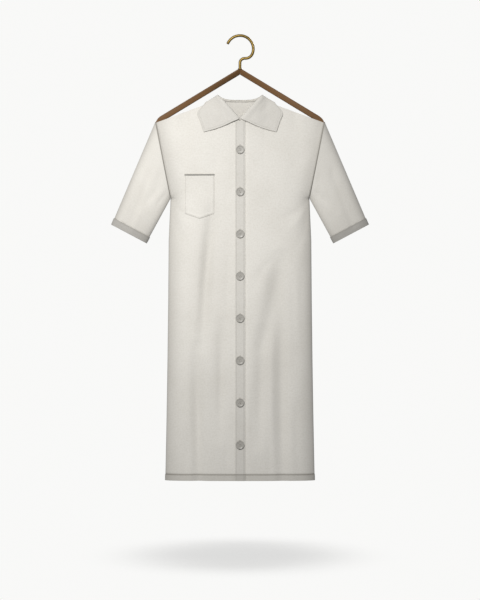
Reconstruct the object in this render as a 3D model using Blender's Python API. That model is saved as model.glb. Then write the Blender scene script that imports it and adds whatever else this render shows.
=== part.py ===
# A knee-length shirt with short sleeves, buttoned down the front, hanging on a slim wooden hanger.
# Metres, +Z up, the front faces -Y. The origin is inside the top of the hook, where a rail bears.
# "Right" and "left" are the wearer's, so the right side of the shirt is at -X.

import math
from collections import namedtuple

import bmesh
import bpy
from mathutils import Matrix, Vector

# Cloth: every panel is a wall of this thickness, and neighbouring pieces stand a seam apart.
CLOTH = 0.0013
COLLAR_CLOTH = 0.0020
SEAM = 0.0003
HALF_SEAM = SEAM / 2
PATCH_CLEARANCE = 0.0006

# Hook: a brass rod bent to a question mark, its shank screwed into the wood.
ROD_RADIUS = 0.0038
SHANK_RADIUS = 0.0024
SHANK_DEPTH = 0.0110
HOOK_RADIUS = 0.0353
HOOK_CENTRE_Z = -(HOOK_RADIUS - ROD_RADIUS)
HOOK_TIP_ANGLE = math.radians(156)
HOOK_TURN_ANGLE = math.radians(-20)
HOOK_INNER_BEND = 0.020
HOOK_OUTER_BEND = 0.012

# Hanger arms: two straight flat bars mitred at the middle, with rounded noses at the ends.
ARM_APEX_Z = -0.0909
ARM_SLOPE = math.atan(0.606)
ARM_HALF_HEIGHT = 0.0074
ARM_HALF_THICKNESS = 0.0046
ARM_EDGE_ROUND = 0.0022
ARM_NOSE_START = 0.2403
ARM_NOSE_TOP_RADIUS = 0.033
ARM_NOSE_END_RADIUS = 0.0025
ARM_SEAT_HALF_WIDTH = 0.0058
ARM_CROSSING = 0.006

# Shirt body, from the photograph's outline.
SHOULDER_X = 0.2243
SHOULDER_Z = -0.2245
UNDERARM_X = 0.1840
UNDERARM_Z = -0.4280
NECK_X = 0.0636
NECK_Z = -0.1683
NECK_FRONT_Z = -0.2240
NECK_BACK_DIP = 0.0030
NECK_FRONT_DEPTH = 0.0200
NECK_BACK_DEPTH = 0.0160
NECK_CURVE = 1.2
NECK_COLUMNS = (0.0, 0.0132, 0.0222, 0.0385, 0.0496, 0.0582, NECK_X)
CHEST_HALF_DEPTH = 0.0250
YOKE_HALF_DEPTH = 0.0230
ARMHOLE_HALF_DEPTH = 0.0240
RIDGE_LENGTH = 0.055
ARMHOLE_BLEND = 0.012
SLIT_START_X = 0.172
SLIT_TAPER = 0.030

Level = namedtuple("Level", "z half_width half_depth")
BODY_LEVELS = (
    Level(-1.1740, 0.1980, 0.0330),
    Level(-1.0150, 0.1948, 0.0315),
    Level(-0.8560, 0.1922, 0.0300),
    Level(-0.6970, 0.1903, 0.0280),
    Level(-0.5380, 0.1890, 0.0262),
    Level(UNDERARM_Z, UNDERARM_X, CHEST_HALF_DEPTH),
)
HEM_Z = BODY_LEVELS[0].z
HEM_HEIGHT = 0.0160
HEM_STEP = 0.0015
HEM_RAISE = 0.0009
BODY_ROWS = 20

# Soft folds that hang in the cloth: each is a trough that runs from its top to its bottom.
Fold = namedtuple("Fold", "x_top x_bottom z_top z_bottom width depth")
FRONT_FOLDS = (
    Fold(-0.076, -0.106, -0.440, -0.840, 0.019, 0.0062),
    Fold(-0.113, -0.104, -0.820, -1.300, 0.020, 0.0060),
    Fold(-0.048, -0.052, -0.740, -1.080, 0.014, 0.0038),
    Fold(0.112, 0.060, -0.560, -0.840, 0.022, 0.0052),
    Fold(0.058, 0.052, -0.760, -1.100, 0.017, 0.0046),
    Fold(0.106, 0.114, -0.620, -1.330, 0.018, 0.0062),
)
BACK_FOLDS = (
    Fold(-0.062, -0.090, -0.380, -1.360, 0.024, 0.0070),
    Fold(0.044, 0.070, -0.520, -1.360, 0.022, 0.0062),
    Fold(0.122, 0.134, -0.600, -1.340, 0.017, 0.0050),
    Fold(-0.138, -0.146, -0.680, -1.320, 0.015, 0.0042),
)

# Button placket, buttons and pocket.
PLACKET_HALF_WIDTH = 0.0132
UNDERLAP_BEND = (0.0142, 0.0222)
UNDERLAP_DROP = CLOTH + 2 * SEAM
BUTTON_COUNT = 8
BUTTON_TOP_Z = -0.2995
BUTTON_PITCH = 0.1113
BUTTON_RADIUS = 0.0112
BUTTON_THICKNESS = 0.0030
BUTTON_RIM = 0.0024
BUTTON_DISH = 0.0008
BUTTON_HOLE_RADIUS = 0.0011
BUTTON_HOLE_SPACING = 0.0038
BUTTON_SIDES = 20
BUTTON_HOLE_SIDES = 6
BUTTON_CLEARANCE = 0.0004
POCKET_INNER_X = -0.0681
POCKET_OUTER_X = -0.1458
POCKET_TOP_Z = -0.3640
POCKET_CORNER_Z = -0.4683
POCKET_POINT_Z = -0.4820
BINDING_HEIGHT = 0.0042
BINDING_OVERHANG = 0.0007

# Sleeves: flattened tubes from the armhole to the cuff.
CUFF_TOP = (0.3403, -0.4977)
CUFF_BOTTOM = (0.2486, -0.5464)
CUFF_HALF_DEPTH = 0.0205
CUFF_BAND = 0.0185
SLEEVE_RINGS = (0.0, 0.05, 0.16, 0.30, 0.45, 0.60, 0.75)
RING_POINTS = 24
SLEEVE_FOLD_DEPTH = 0.0040

# Collar: a strip that rises from the neck seam, rolls over and falls on the shirt. Each row is a section
# that starts at one place of the neck seam and ends at one place of the collar's outer edge.
CollarSection = namedtuple("CollarSection", "neck_x edge_x edge_z")
COLLAR_FRONT = (
    CollarSection(0.0033, 0.0962, -0.2532),
    CollarSection(0.0132, 0.1010, -0.2385),
    CollarSection(0.0222, 0.1058, -0.2240),
    CollarSection(0.0385, 0.1128, -0.2025),
    CollarSection(0.0496, 0.1072, -0.1925),
    CollarSection(0.0582, 0.0995, -0.1838),
)
COLLAR_SIDE = CollarSection(NECK_X, 0.0895, -0.1742)
COLLAR_BACK = (
    CollarSection(0.0582, 0.0872, -0.1820),
    CollarSection(0.0496, 0.0770, -0.1925),
    CollarSection(0.0385, 0.0600, -0.2005),
    CollarSection(0.0222, 0.0330, -0.2065),
    CollarSection(0.0, 0.0, -0.2085),
)
COLLAR_ROLL_X = 0.0570
COLLAR_ROLL_FRONT_Z = -0.2205
COLLAR_ROLL_SIDE_Z = -0.1565
COLLAR_ROLL_BACK_Z = -0.1685
COLLAR_ROLL_DEPTH = 0.92
COLLAR_ROLL_WIDTH = 0.0044
COLLAR_ROLL_HEIGHT = 0.0016
COLLAR_FRONT_BOW = 0.0045
COLLAR_FALL_STEPS = 5
COLLAR_CLEARANCE = 0.0012
COLLAR_STAND_OFF = 0.0032

LINEN = (0.84, 0.82, 0.78, 1.0)
SHADED_LINEN = (0.66, 0.65, 0.62, 1.0)
BUTTON_GREY = (0.52, 0.51, 0.48, 1.0)
WOOD = (0.26, 0.13, 0.06, 1.0)
BRASS = (0.50, 0.38, 0.16, 1.0)


def remove_everything():
    for obj in list(bpy.data.objects):
        bpy.data.objects.remove(obj)


def make_material(name, colour, roughness, metallic=0.0):
    material = bpy.data.materials.new(name)
    material.use_nodes = True
    shader = material.node_tree.nodes["Principled BSDF"]
    shader.inputs["Base Color"].default_value = colour
    shader.inputs["Roughness"].default_value = roughness
    shader.inputs["Metallic"].default_value = metallic
    return material


def link(obj, collection, material):
    """Puts a finished object in its collection with its material."""
    for holder in list(obj.users_collection):
        holder.objects.unlink(obj)
    collection.objects.link(obj)
    obj.data.materials.clear()
    obj.data.materials.append(material)
    return obj


def smoothstep(x):
    x = min(1.0, max(0.0, x))
    return x * x * (3 - 2 * x)


def lerp(a, b, t):
    return a + (b - a) * t


# The body's form: half-widths, seam lines and the depth of the cloth at each place.

ARMHOLE_LENGTH = math.hypot(SHOULDER_X - UNDERARM_X, SHOULDER_Z - UNDERARM_Z)
CORNER_ANGLE = math.pi / (RING_POINTS / 2)
CORNER_SHARE = (1 + math.cos(CORNER_ANGLE)) / 2
CORNER_X = lerp(UNDERARM_X, SHOULDER_X, CORNER_SHARE)
CORNER_Z = lerp(UNDERARM_Z, SHOULDER_Z, CORNER_SHARE)
SLIT_DEPTH = ARMHOLE_HALF_DEPTH * math.sin(CORNER_ANGLE)


def level_at(z):
    """Half-width and half-depth of the body below the armholes."""
    for low, high in zip(BODY_LEVELS, BODY_LEVELS[1:]):
        if z <= high.z:
            share = max(0.0, (z - low.z) / (high.z - low.z))
            return (
                lerp(low.half_width, high.half_width, share),
                lerp(low.half_depth, high.half_depth, share),
            )
    return UNDERARM_X, CHEST_HALF_DEPTH


def armhole_share(z):
    """0 at the underarm and 1 at the shoulder."""
    return min(1.0, max(0.0, (z - UNDERARM_Z) / (SHOULDER_Z - UNDERARM_Z)))


def half_width(z):
    if z <= UNDERARM_Z:
        return level_at(z)[0]
    return lerp(UNDERARM_X, SHOULDER_X, armhole_share(z))


def armhole_depth(z):
    """Half-depth of the armhole's oval, 0 at the underarm and at the shoulder's end."""
    offset = 2 * armhole_share(z) - 1
    return ARMHOLE_HALF_DEPTH * math.sqrt(max(0.0, 1 - offset * offset))


def neckline(x, back):
    """Height and depth of the neck's edge at one of its columns."""
    share = x / NECK_X
    if back:
        return NECK_Z - NECK_BACK_DIP * (1 - share**2), max(CLOTH, NECK_BACK_DEPTH * math.sqrt(1 - share**2))
    rise = (NECK_Z - NECK_FRONT_Z) * share**NECK_CURVE
    return NECK_FRONT_Z + rise, max(CLOTH, NECK_FRONT_DEPTH * math.sqrt(1 - share**2))


def along_neck(x, back):
    """Height and depth of the neck's edge, straight between its columns."""
    for low, high in zip(NECK_COLUMNS, NECK_COLUMNS[1:]):
        if x <= high:
            share = (x - low) / (high - low)
            return [lerp(a, b, share) for a, b in zip(neckline(low, back), neckline(high, back))]
    return neckline(NECK_X, back)


def top_z(x, back):
    """Height of a panel's top edge: the neckline, then the shoulder seam."""
    x = abs(x)
    if x < NECK_X:
        return along_neck(x, back)[0]
    return lerp(NECK_Z, CORNER_Z, (x - NECK_X) / (CORNER_X - NECK_X))


def top_depth(x, back):
    """Depth of a panel's top edge: open at the neck, shut along the shoulder, open round the arm's end."""
    x = abs(x)
    if x < NECK_X:
        return along_neck(x, back)[1]
    opening = smoothstep((x - SLIT_START_X + SLIT_TAPER) / SLIT_TAPER)
    return lerp(CLOTH, SLIT_DEPTH - HALF_SEAM, opening)


def fold_depth(x, z, back):
    """How far the hanging folds press the cloth in at one place."""
    total = 0.0
    for fold in BACK_FOLDS if back else FRONT_FOLDS:
        share = (fold.z_top - z) / (fold.z_top - fold.z_bottom)
        if not 0 < share < 1:
            continue
        middle = lerp(fold.x_top, fold.x_bottom, share)
        reach = (x - middle) / fold.width
        total += fold.depth * math.sin(math.pi * share) ** 0.8 * math.exp(-reach * reach)
    return total


def depth(x, z, back):
    """Distance of the cloth's outer face from the shirt's middle plane."""
    ceiling = top_z(x, back)
    z = min(z, ceiling)
    width = half_width(z)
    u = min(1.0, abs(x) / width)
    edge = armhole_depth(z) if z > UNDERARM_Z else 0.0
    middle = level_at(z)[1]
    if z > UNDERARM_Z:
        middle = lerp(CHEST_HALF_DEPTH, YOKE_HALF_DEPTH, armhole_share(z))
    rounded = math.sqrt(1 - u**4)
    sloped = 1 - u**4
    form = lerp(rounded, sloped, smoothstep((z - UNDERARM_Z) / 0.06))
    open_depth = edge + (middle - edge) * form - fold_depth(x, z, back) * form
    closing = math.exp(-(ceiling - z) / RIDGE_LENGTH)
    inside = 1 - math.exp(-max(0.0, width - abs(x)) / ARMHOLE_BLEND)
    if inside == 0:
        return open_depth
    weight = closing * inside
    return (open_depth * (1 - closing) + top_depth(x, back) * weight) / (1 - closing + weight)


def on_panel(x, z, back):
    """Point of a panel's outer face."""
    y = HALF_SEAM + depth(x, z, back)
    return Vector((x, y if back else -y, z))


# Walls of cloth, made from a sheet of points and their normals.


def sheet_normals(rows, closed, hint):
    """Unit normals of a grid of points. hint gives the side they point to, at each point."""
    last_row, last_column = len(rows) - 1, len(rows[0]) - 1
    normals = []
    for r, row in enumerate(rows):
        line = []
        for c in range(len(row)):
            if closed:
                across = row[(c + 1) % len(row)] - row[c - 1]
            else:
                across = row[min(c + 1, last_column)] - row[max(c - 1, 0)]
            along = rows[min(r + 1, last_row)][c] - rows[max(r - 1, 0)][c]
            normal = across.cross(along).normalized()
            line.append(-normal if normal.dot(hint(r, c)) < 0 else normal)
        normals.append(line)
    return normals


def cloth_wall(name, rows, hint, rim=None, closed=False, thickness=CLOTH, lift=0.0, raised=None):
    """A wall on a grid of points. lift moves its outer face out; rim corrects the normals along its edges."""
    normals = sheet_normals(rows, closed, hint)
    if rim:
        normals = [[rim(r, c, n) for c, n in enumerate(line)] for r, line in enumerate(normals)]
    mesh = bpy.data.meshes.new(name)
    bm = bmesh.new()
    outer, inner = [], []
    for r, row in enumerate(rows):
        extra = [raised(p) if raised else 0.0 for p in row]
        outer.append([bm.verts.new(p + n * (lift + e)) for p, n, e in zip(row, normals[r], extra)])
        inner.append([bm.verts.new(p + n * (lift - thickness)) for p, n in zip(row, normals[r])])
    columns = len(rows[0])
    spans = [(c, (c + 1) % columns) for c in range(columns if closed else columns - 1)]
    for r in range(len(rows) - 1):
        for a, b in spans:
            bm.faces.new((outer[r][a], outer[r][b], outer[r + 1][b], outer[r + 1][a]))
            bm.faces.new((inner[r][b], inner[r][a], inner[r + 1][a], inner[r + 1][b]))
    for r in (0, -1):
        for a, b in spans:
            bm.faces.new((outer[r][a], outer[r][b], inner[r][b], inner[r][a]))
    if not closed:
        for c in (0, -1):
            for r in range(len(rows) - 1):
                bm.faces.new((outer[r][c], outer[r + 1][c], inner[r + 1][c], inner[r][c]))
    bmesh.ops.recalc_face_normals(bm, faces=bm.faces)
    bm.to_mesh(mesh)
    bm.free()
    mesh.shade_smooth()
    mesh.set_sharp_from_angle(angle=math.radians(50))
    return bpy.data.objects.new(name, mesh)


def hem_raise(point):
    """The hem is turned up, so the cloth stands proud there."""
    return HEM_RAISE * (1 - smoothstep((point.z - HEM_Z - HEM_HEIGHT + HEM_STEP) / HEM_STEP))


def front_hem_raise(point):
    """The same on a front, which stays flat where the placket lies on it."""
    low, high = UNDERLAP_BEND
    return hem_raise(point) * smoothstep((abs(point.x) - low) / (high - low))


# Front and back panels.


def row_shares():
    """Shares of the height from the underarm to the top edge, which follow the armhole's oval."""
    steps = RING_POINTS // 2
    return [
        (1 - math.cos(math.pi * k / steps)) / 2 / CORNER_SHARE for k in range(1, steps)
    ]


def row_heights(x_of, back):
    """Heights of one column of points, from the hem to the top edge."""
    lower = [HEM_Z, HEM_Z + HEM_HEIGHT - HEM_STEP, HEM_Z + HEM_HEIGHT]
    start = HEM_Z + HEM_HEIGHT
    lower += [lerp(start, UNDERARM_Z, k / BODY_ROWS) for k in range(1, BODY_ROWS + 1)]
    ceiling = UNDERARM_Z
    for _ in range(12):
        ceiling = top_z(x_of(ceiling), back)
    return lower + [lerp(UNDERARM_Z, ceiling, share) for share in row_shares()]


NECK_SHARES = [
    (x - UNDERLAP_BEND[1]) / (half_width(NECK_Z) - UNDERLAP_BEND[1]) for x in NECK_COLUMNS[3:]
]
SIDE_SHARES = (*NECK_SHARES, 0.30, 0.41, 0.52, 0.63, 0.735, 0.83, 0.91, 0.963, 0.992, 1.0)


def side_column(share, side):
    """x of a column at a share of the way from the placket to the side edge."""
    return lambda z: side * lerp(UNDERLAP_BEND[1], half_width(z), share)


def panel_rim(rows, back, side_columns):
    """Turns the wall's edges to lie in the planes of the seams."""
    toward = Vector((0, 1 if back else -1, 0))
    armhole = Vector((SHOULDER_Z - UNDERARM_Z, 0, UNDERARM_X - SHOULDER_X)).normalized()

    def rim(r, c, normal):
        point = rows[r][c]
        if r == len(rows) - 1:
            return toward
        normal = normal.copy()
        if c in side_columns:
            if point.z <= UNDERARM_Z + 1e-6:
                normal.y = 0
            else:
                plane = Vector((math.copysign(armhole.x, point.x), 0, armhole.z))
                normal -= plane * normal.dot(plane)
        elif c in (0, len(rows[r]) - 1):
            normal.x = 0
        if r == 0:
            normal.z = 0
        return normal.normalized()

    return rim


def panel(name, columns, back, side_columns, inset=None):
    """One panel of the body from the x of each column. inset moves an underlap below the panel above it."""
    heights = [row_heights(x_of, back) for x_of in columns]
    rows = []
    for r in range(len(heights[0])):
        row = []
        for x_of, column in zip(columns, heights):
            point = on_panel(x_of(column[r]), column[r], back)
            if inset:
                point.y += inset(point.x)
            row.append(point)
        rows.append(row)
    toward = Vector((0, 1 if back else -1, 0))
    rim = panel_rim(rows, back, side_columns)
    return cloth_wall(name, rows, lambda r, c: toward, rim, raised=hem_raise if back else front_hem_raise)


def fixed_column(x):
    return lambda z: x


def make_front_right():
    """The upper front, which laps over the other at the placket."""
    columns = [side_column(share, -1) for share in reversed(SIDE_SHARES)]
    columns += [fixed_column(-UNDERLAP_BEND[1])]
    columns += [fixed_column(x) for x in (-PLACKET_HALF_WIDTH, 0.0, PLACKET_HALF_WIDTH)]
    return panel("front_right", columns, False, (0,))


def make_front_left():
    """The lower front, which steps down to pass under the placket."""
    columns = [fixed_column(x) for x in (-PLACKET_HALF_WIDTH, 0.0, *UNDERLAP_BEND)]
    columns += [side_column(share, 1) for share in SIDE_SHARES]

    def inset(x):
        low, high = UNDERLAP_BEND
        return UNDERLAP_DROP * (1 - smoothstep((x - low) / (high - low)))

    return panel("front_left", columns, False, (len(columns) - 1,), inset)


def make_back():
    columns = [side_column(share, -1) for share in reversed(SIDE_SHARES)]
    columns += [fixed_column(x) for x in (-UNDERLAP_BEND[1], 0.0, UNDERLAP_BEND[1])]
    columns += [side_column(share, 1) for share in SIDE_SHARES]
    return panel("back", columns, True, (0, len(columns) - 1))


def make_placket():
    """A band down the front, made from the upper front's own points."""
    columns = [fixed_column(x) for x in (-PLACKET_HALF_WIDTH, 0.0, PLACKET_HALF_WIDTH)]
    heights = row_heights(columns[1], False)
    rows = [[on_panel(x_of(z), z, False) for x_of in columns] for z in heights]

    def rim(r, c, normal):
        normal = normal.copy()
        if c != 1:
            normal.x = 0
        if r in (0, len(rows) - 1):
            normal.z = 0
        return normal.normalized()

    return cloth_wall(
        "placket", rows, lambda r, c: Vector((0, -1, 0)), rim, lift=SEAM + CLOTH, raised=hem_raise
    )


# Pocket, with a narrow binding along its mouth.


def pocket_point(across, down):
    """A point of the front panel under the pocket, from its mouth (down 0) to its pointed foot (down 1)."""
    x = lerp(POCKET_OUTER_X, POCKET_INNER_X, across)
    foot = lerp(POCKET_POINT_Z, POCKET_CORNER_Z, abs(2 * across - 1))
    return on_panel(x, lerp(POCKET_TOP_Z, foot, down), False)


def make_pocket():
    shares = [k / 6 for k in range(7)]
    rows = [[pocket_point(across, down) for across in shares] for down in shares]
    return cloth_wall("pocket", rows, lambda r, c: Vector((0, -1, 0)), lift=PATCH_CLEARANCE + CLOTH)


def make_pocket_binding():
    """A strip that lies on the pocket's upper edge."""
    columns = [lerp(-BINDING_OVERHANG, 1 + BINDING_OVERHANG, k / 6) for k in range(7)]
    heights = [POCKET_TOP_Z - BINDING_HEIGHT, POCKET_TOP_Z]
    width = POCKET_INNER_X - POCKET_OUTER_X
    rows = []
    for z in heights:
        rows.append([on_panel(POCKET_OUTER_X + width * a, z, False) for a in columns])
    lift = PATCH_CLEARANCE + 2 * CLOTH + SEAM
    return cloth_wall("pocket_binding", rows, lambda r, c: Vector((0, -1, 0)), lift=lift)


# Buttons.


def button_mesh():
    """A dished disc with four sewing holes, facing +Z, its back on the XY plane."""
    bm = bmesh.new()
    bmesh.ops.create_cone(
        bm,
        cap_ends=True,
        segments=BUTTON_SIDES,
        radius1=BUTTON_RADIUS,
        radius2=BUTTON_RADIUS,
        depth=BUTTON_THICKNESS,
        matrix=Matrix.Translation((0, 0, BUTTON_THICKNESS / 2)),
    )
    face = max(bm.faces, key=lambda f: f.calc_center_median().z)
    bmesh.ops.inset_region(bm, faces=[face], thickness=BUTTON_RIM, depth=0)
    bmesh.ops.inset_region(bm, faces=[face], thickness=BUTTON_DISH, depth=-BUTTON_DISH)
    mesh = bpy.data.meshes.new("button_blank")
    bm.to_mesh(mesh)
    bm.free()
    return mesh


def button_hole_mesh():
    bm = bmesh.new()
    half = BUTTON_HOLE_SPACING / 2
    for x in (-half, half):
        for y in (-half, half):
            bmesh.ops.create_cone(
                bm,
                cap_ends=True,
                segments=BUTTON_HOLE_SIDES,
                radius1=BUTTON_HOLE_RADIUS,
                radius2=BUTTON_HOLE_RADIUS,
                depth=4 * BUTTON_THICKNESS,
                matrix=Matrix.Translation((x, y, 0)),
            )
    mesh = bpy.data.meshes.new("button_holes")
    bm.to_mesh(mesh)
    bm.free()
    return mesh


def make_buttons(collection, cutters, material):
    blank = bpy.data.objects.new("button_blank", button_mesh())
    holes = bpy.data.objects.new("button_holes", button_hole_mesh())
    cutters.objects.link(blank)
    cutters.objects.link(holes)
    cut = blank.modifiers.new("holes", "BOOLEAN")
    cut.operation = "DIFFERENCE"
    cut.object = holes
    bpy.context.view_layer.update()
    graph = bpy.context.evaluated_depsgraph_get()
    drilled = bpy.data.meshes.new_from_object(blank.evaluated_get(graph))
    drilled.shade_smooth()
    drilled.set_sharp_from_angle(angle=math.radians(40))
    for obj in (blank, holes):
        obj.hide_render = True
        obj.display_type = "WIRE"
    placket_lift = SEAM + CLOTH + BUTTON_CLEARANCE
    for k in range(BUTTON_COUNT):
        z = BUTTON_TOP_Z - k * BUTTON_PITCH
        above = on_panel(0, z + BUTTON_RADIUS, False)
        below = on_panel(0, z - BUTTON_RADIUS, False)
        front = min(above.y + below.y, 2 * on_panel(0, z, False).y) / 2
        tilt = math.atan2(above.y - below.y, above.z - below.z)
        button = bpy.data.objects.new(f"button_{k + 1}", drilled)
        button.location = (0, front - placket_lift, z)
        button.rotation_euler = (math.pi / 2 - tilt, 0, 0)
        link(button, collection, material)


# Sleeves and their turned-up cuff bands.


def sleeve_point(share, angle, side, gap):
    """A point of a sleeve's oval, which stands on the line between the sleeve's upper and lower edges."""
    top = Vector((lerp(SHOULDER_X, CUFF_TOP[0], share), 0, lerp(SHOULDER_Z, CUFF_TOP[1], share)))
    low = Vector((lerp(UNDERARM_X, CUFF_BOTTOM[0], share), 0, lerp(UNDERARM_Z, CUFF_BOTTOM[1], share)))
    outward = Vector((SHOULDER_Z - UNDERARM_Z, 0, UNDERARM_X - SHOULDER_X)).normalized()
    half_depth = lerp(ARMHOLE_HALF_DEPTH, CUFF_HALF_DEPTH, share)
    crease = SLEEVE_FOLD_DEPTH * share * (1 - share / 2) * math.exp(-((math.cos(angle) - 0.25) / 0.22) ** 2)
    y = (half_depth - crease) * math.sin(angle)
    point = (top + low) / 2 + outward * gap + (top - low) / 2 * math.cos(angle) + Vector((0, y, 0))
    return Vector((side * point.x, point.y, point.z))


def band_share(angle):
    """Share of the sleeve's length at which the cuff band starts, so that the band is equally wide all round."""
    edge = (Vector(CUFF_TOP) - Vector(CUFF_BOTTOM)).normalized()
    across = Vector((edge.y, -edge.x))
    top = across.dot(Vector(CUFF_TOP) - Vector((SHOULDER_X, SHOULDER_Z)))
    low = across.dot(Vector(CUFF_BOTTOM) - Vector((UNDERARM_X, UNDERARM_Z)))
    return 1 - CUFF_BAND / lerp(low, top, (1 + math.cos(angle)) / 2)


def sleeve_ring(share, side):
    """One ring of a sleeve. With no share, it is the ring where the cuff band starts."""
    gap = SEAM if share == 0 else 0.0
    angles = [2 * math.pi * k / RING_POINTS for k in range(RING_POINTS)]
    return [sleeve_point(band_share(angle) if share is None else share, angle, side, gap) for angle in angles]


def sleeve_wall(name, shares, side, lift):
    rows = [sleeve_ring(share, side) for share in shares]
    centres = [sum(row, Vector()) / len(row) for row in rows]

    def hint(r, c):
        return rows[r][c] - centres[r]

    def rim(r, c, normal):
        if 0 < r < len(rows) - 1:
            return normal
        plane = (rows[r][0] - rows[r][len(rows[r]) // 2]).cross(Vector((0, 1, 0))).normalized()
        return (normal - plane * normal.dot(plane)).normalized()

    return cloth_wall(name, rows, hint, rim, closed=True, lift=lift)


def make_sleeve(name, side):
    return sleeve_wall(name, (*SLEEVE_RINGS, None, 1.0), side, 0.0)


def make_cuff(name, side):
    return sleeve_wall(name, (None, 1.0), side, SEAM * 1.1 + CLOTH)


# Collar.


def collar_rest(x, z, back):
    """Depth at which the collar's underside lies on the shirt, above the placket's edge too."""
    placket = 0.0 if back else SEAM + CLOTH
    over = 1 - smoothstep((x - PLACKET_HALF_WIDTH - 0.002) / 0.010)
    return HALF_SEAM + depth(x, z, back) + COLLAR_CLEARANCE + placket * over


def collar_section(section, way, bow):
    """One section on the viewer's right: up from the neck seam, over the roll and down to the edge."""
    back = way > 0
    cos = section.neck_x / NECK_X
    sin = way * math.sqrt(1 - cos * cos)
    seam_z, seam_depth = along_neck(section.neck_x, back)
    middle = HALF_SEAM + seam_depth - CLOTH / 2 if way else 0.0
    base = Vector((section.neck_x, way * middle, seam_z + PATCH_CLEARANCE))
    low = COLLAR_ROLL_BACK_Z if back else COLLAR_ROLL_FRONT_Z
    neck = NECK_BACK_DEPTH if back else NECK_FRONT_DEPTH
    roll_z = lerp(low, COLLAR_ROLL_SIDE_Z, cos**4 if back else cos)
    roll = Vector((COLLAR_ROLL_X * cos, neck * COLLAR_ROLL_DEPTH * sin, roll_z))
    out = Vector((cos, sin * 1.6, 0)).normalized() * COLLAR_ROLL_WIDTH
    crest = Vector((0, 0, COLLAR_ROLL_HEIGHT))
    start = roll + out
    points = [base, base.lerp(roll, 0.55), roll, roll + out * 0.5 + crest, start]
    for k in range(1, COLLAR_FALL_STEPS + 1):
        share = k / COLLAR_FALL_STEPS
        x = lerp(start.x, section.edge_x, share)
        z = lerp(start.z, section.edge_z, share) - bow * math.sin(math.pi * share)
        fall = abs(start.y) * (1 - share) ** 2
        y = max(collar_rest(x, z, back) + COLLAR_STAND_OFF * (1 - share), fall)
        points.append(Vector((x, way * y, z)))
    return points


def make_collar():
    front = [collar_section(s, -1, COLLAR_FRONT_BOW * max(0, 1 - k / 3)) for k, s in enumerate(COLLAR_FRONT)]
    back = [collar_section(s, 1, 0.0) for s in COLLAR_BACK]
    half = front + [collar_section(COLLAR_SIDE, 0, 0.0)] + back
    rows = [[Vector((-p.x, p.y, p.z)) for p in points] for points in half[:-1]] + half[::-1]

    def hint(r, c):
        x, y, z = rows[r][c]
        if c < 3:
            return Vector((-x, -3 * y, 0.03))
        return Vector((x, 3 * y, 0.1 if c < 5 else 0.01))

    def rim(r, c, normal):
        normal = normal.copy()
        if c == 0:
            normal.z = 0
        return normal.normalized()

    return cloth_wall("collar", rows, hint, rim, thickness=COLLAR_CLOTH, lift=COLLAR_CLOTH)


# Hanger.


def arm_outline():
    """Outline of one arm in the front view, from past the middle along the top, round the nose and back."""
    rise = ARM_HALF_HEIGHT / math.cos(ARM_SLOPE)
    slope = math.tan(ARM_SLOPE)
    seat_z = ARM_APEX_Z + rise - slope * ARM_SEAT_HALF_WIDTH
    points = [(-ARM_CROSSING, seat_z), (ARM_SEAT_HALF_WIDTH, seat_z)]
    turn = math.acos(
        1 - 2 * (ARM_HALF_HEIGHT - ARM_NOSE_END_RADIUS) / (ARM_NOSE_TOP_RADIUS - ARM_NOSE_END_RADIUS)
    )
    along = ARM_NOSE_START
    nose = []
    for k in range(7):
        bend = turn * k / 6
        nose.append(
            (
                along + ARM_NOSE_TOP_RADIUS * math.sin(bend),
                ARM_HALF_HEIGHT - ARM_NOSE_TOP_RADIUS * (1 - math.cos(bend)),
            )
        )
    start_x, start_z = nose[-1]
    for k in range(1, 8):
        bend = lerp(turn, math.pi, k / 7)
        nose.append(
            (
                start_x + ARM_NOSE_END_RADIUS * (math.sin(bend) - math.sin(turn)),
                start_z - ARM_NOSE_END_RADIUS * (math.cos(turn) - math.cos(bend)),
            )
        )
    cos, sin = math.cos(ARM_SLOPE), math.sin(ARM_SLOPE)
    points += [(a * cos + b * sin, ARM_APEX_Z - a * sin + b * cos) for a, b in nose]
    points.append((-ARM_CROSSING, ARM_APEX_Z - rise + slope * ARM_CROSSING))
    return points


def mesh_of(obj):
    """The evaluated mesh of a curve, with its caps welded."""
    bpy.context.view_layer.update()
    graph = bpy.context.evaluated_depsgraph_get()
    mesh = bpy.data.meshes.new_from_object(obj.evaluated_get(graph))
    bm = bmesh.new()
    bm.from_mesh(mesh)
    bmesh.ops.remove_doubles(bm, verts=bm.verts, dist=1e-5)
    bmesh.ops.recalc_face_normals(bm, faces=bm.faces)
    bm.to_mesh(mesh)
    bm.free()
    return mesh


def mitre(mesh, side):
    """Cuts an arm off at the middle, half a seam from the other arm."""
    bm = bmesh.new()
    bm.from_mesh(mesh)
    cut = bmesh.ops.bisect_plane(
        bm,
        geom=[*bm.verts, *bm.edges, *bm.faces],
        plane_co=(side * HALF_SEAM, 0, 0),
        plane_no=(-side, 0, 0),
        clear_outer=True,
    )
    edges = [item for item in cut["geom_cut"] if isinstance(item, bmesh.types.BMEdge)]
    bmesh.ops.contextual_create(bm, geom=edges)
    bmesh.ops.recalc_face_normals(bm, faces=bm.faces)
    bm.to_mesh(mesh)
    bm.free()


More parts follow.
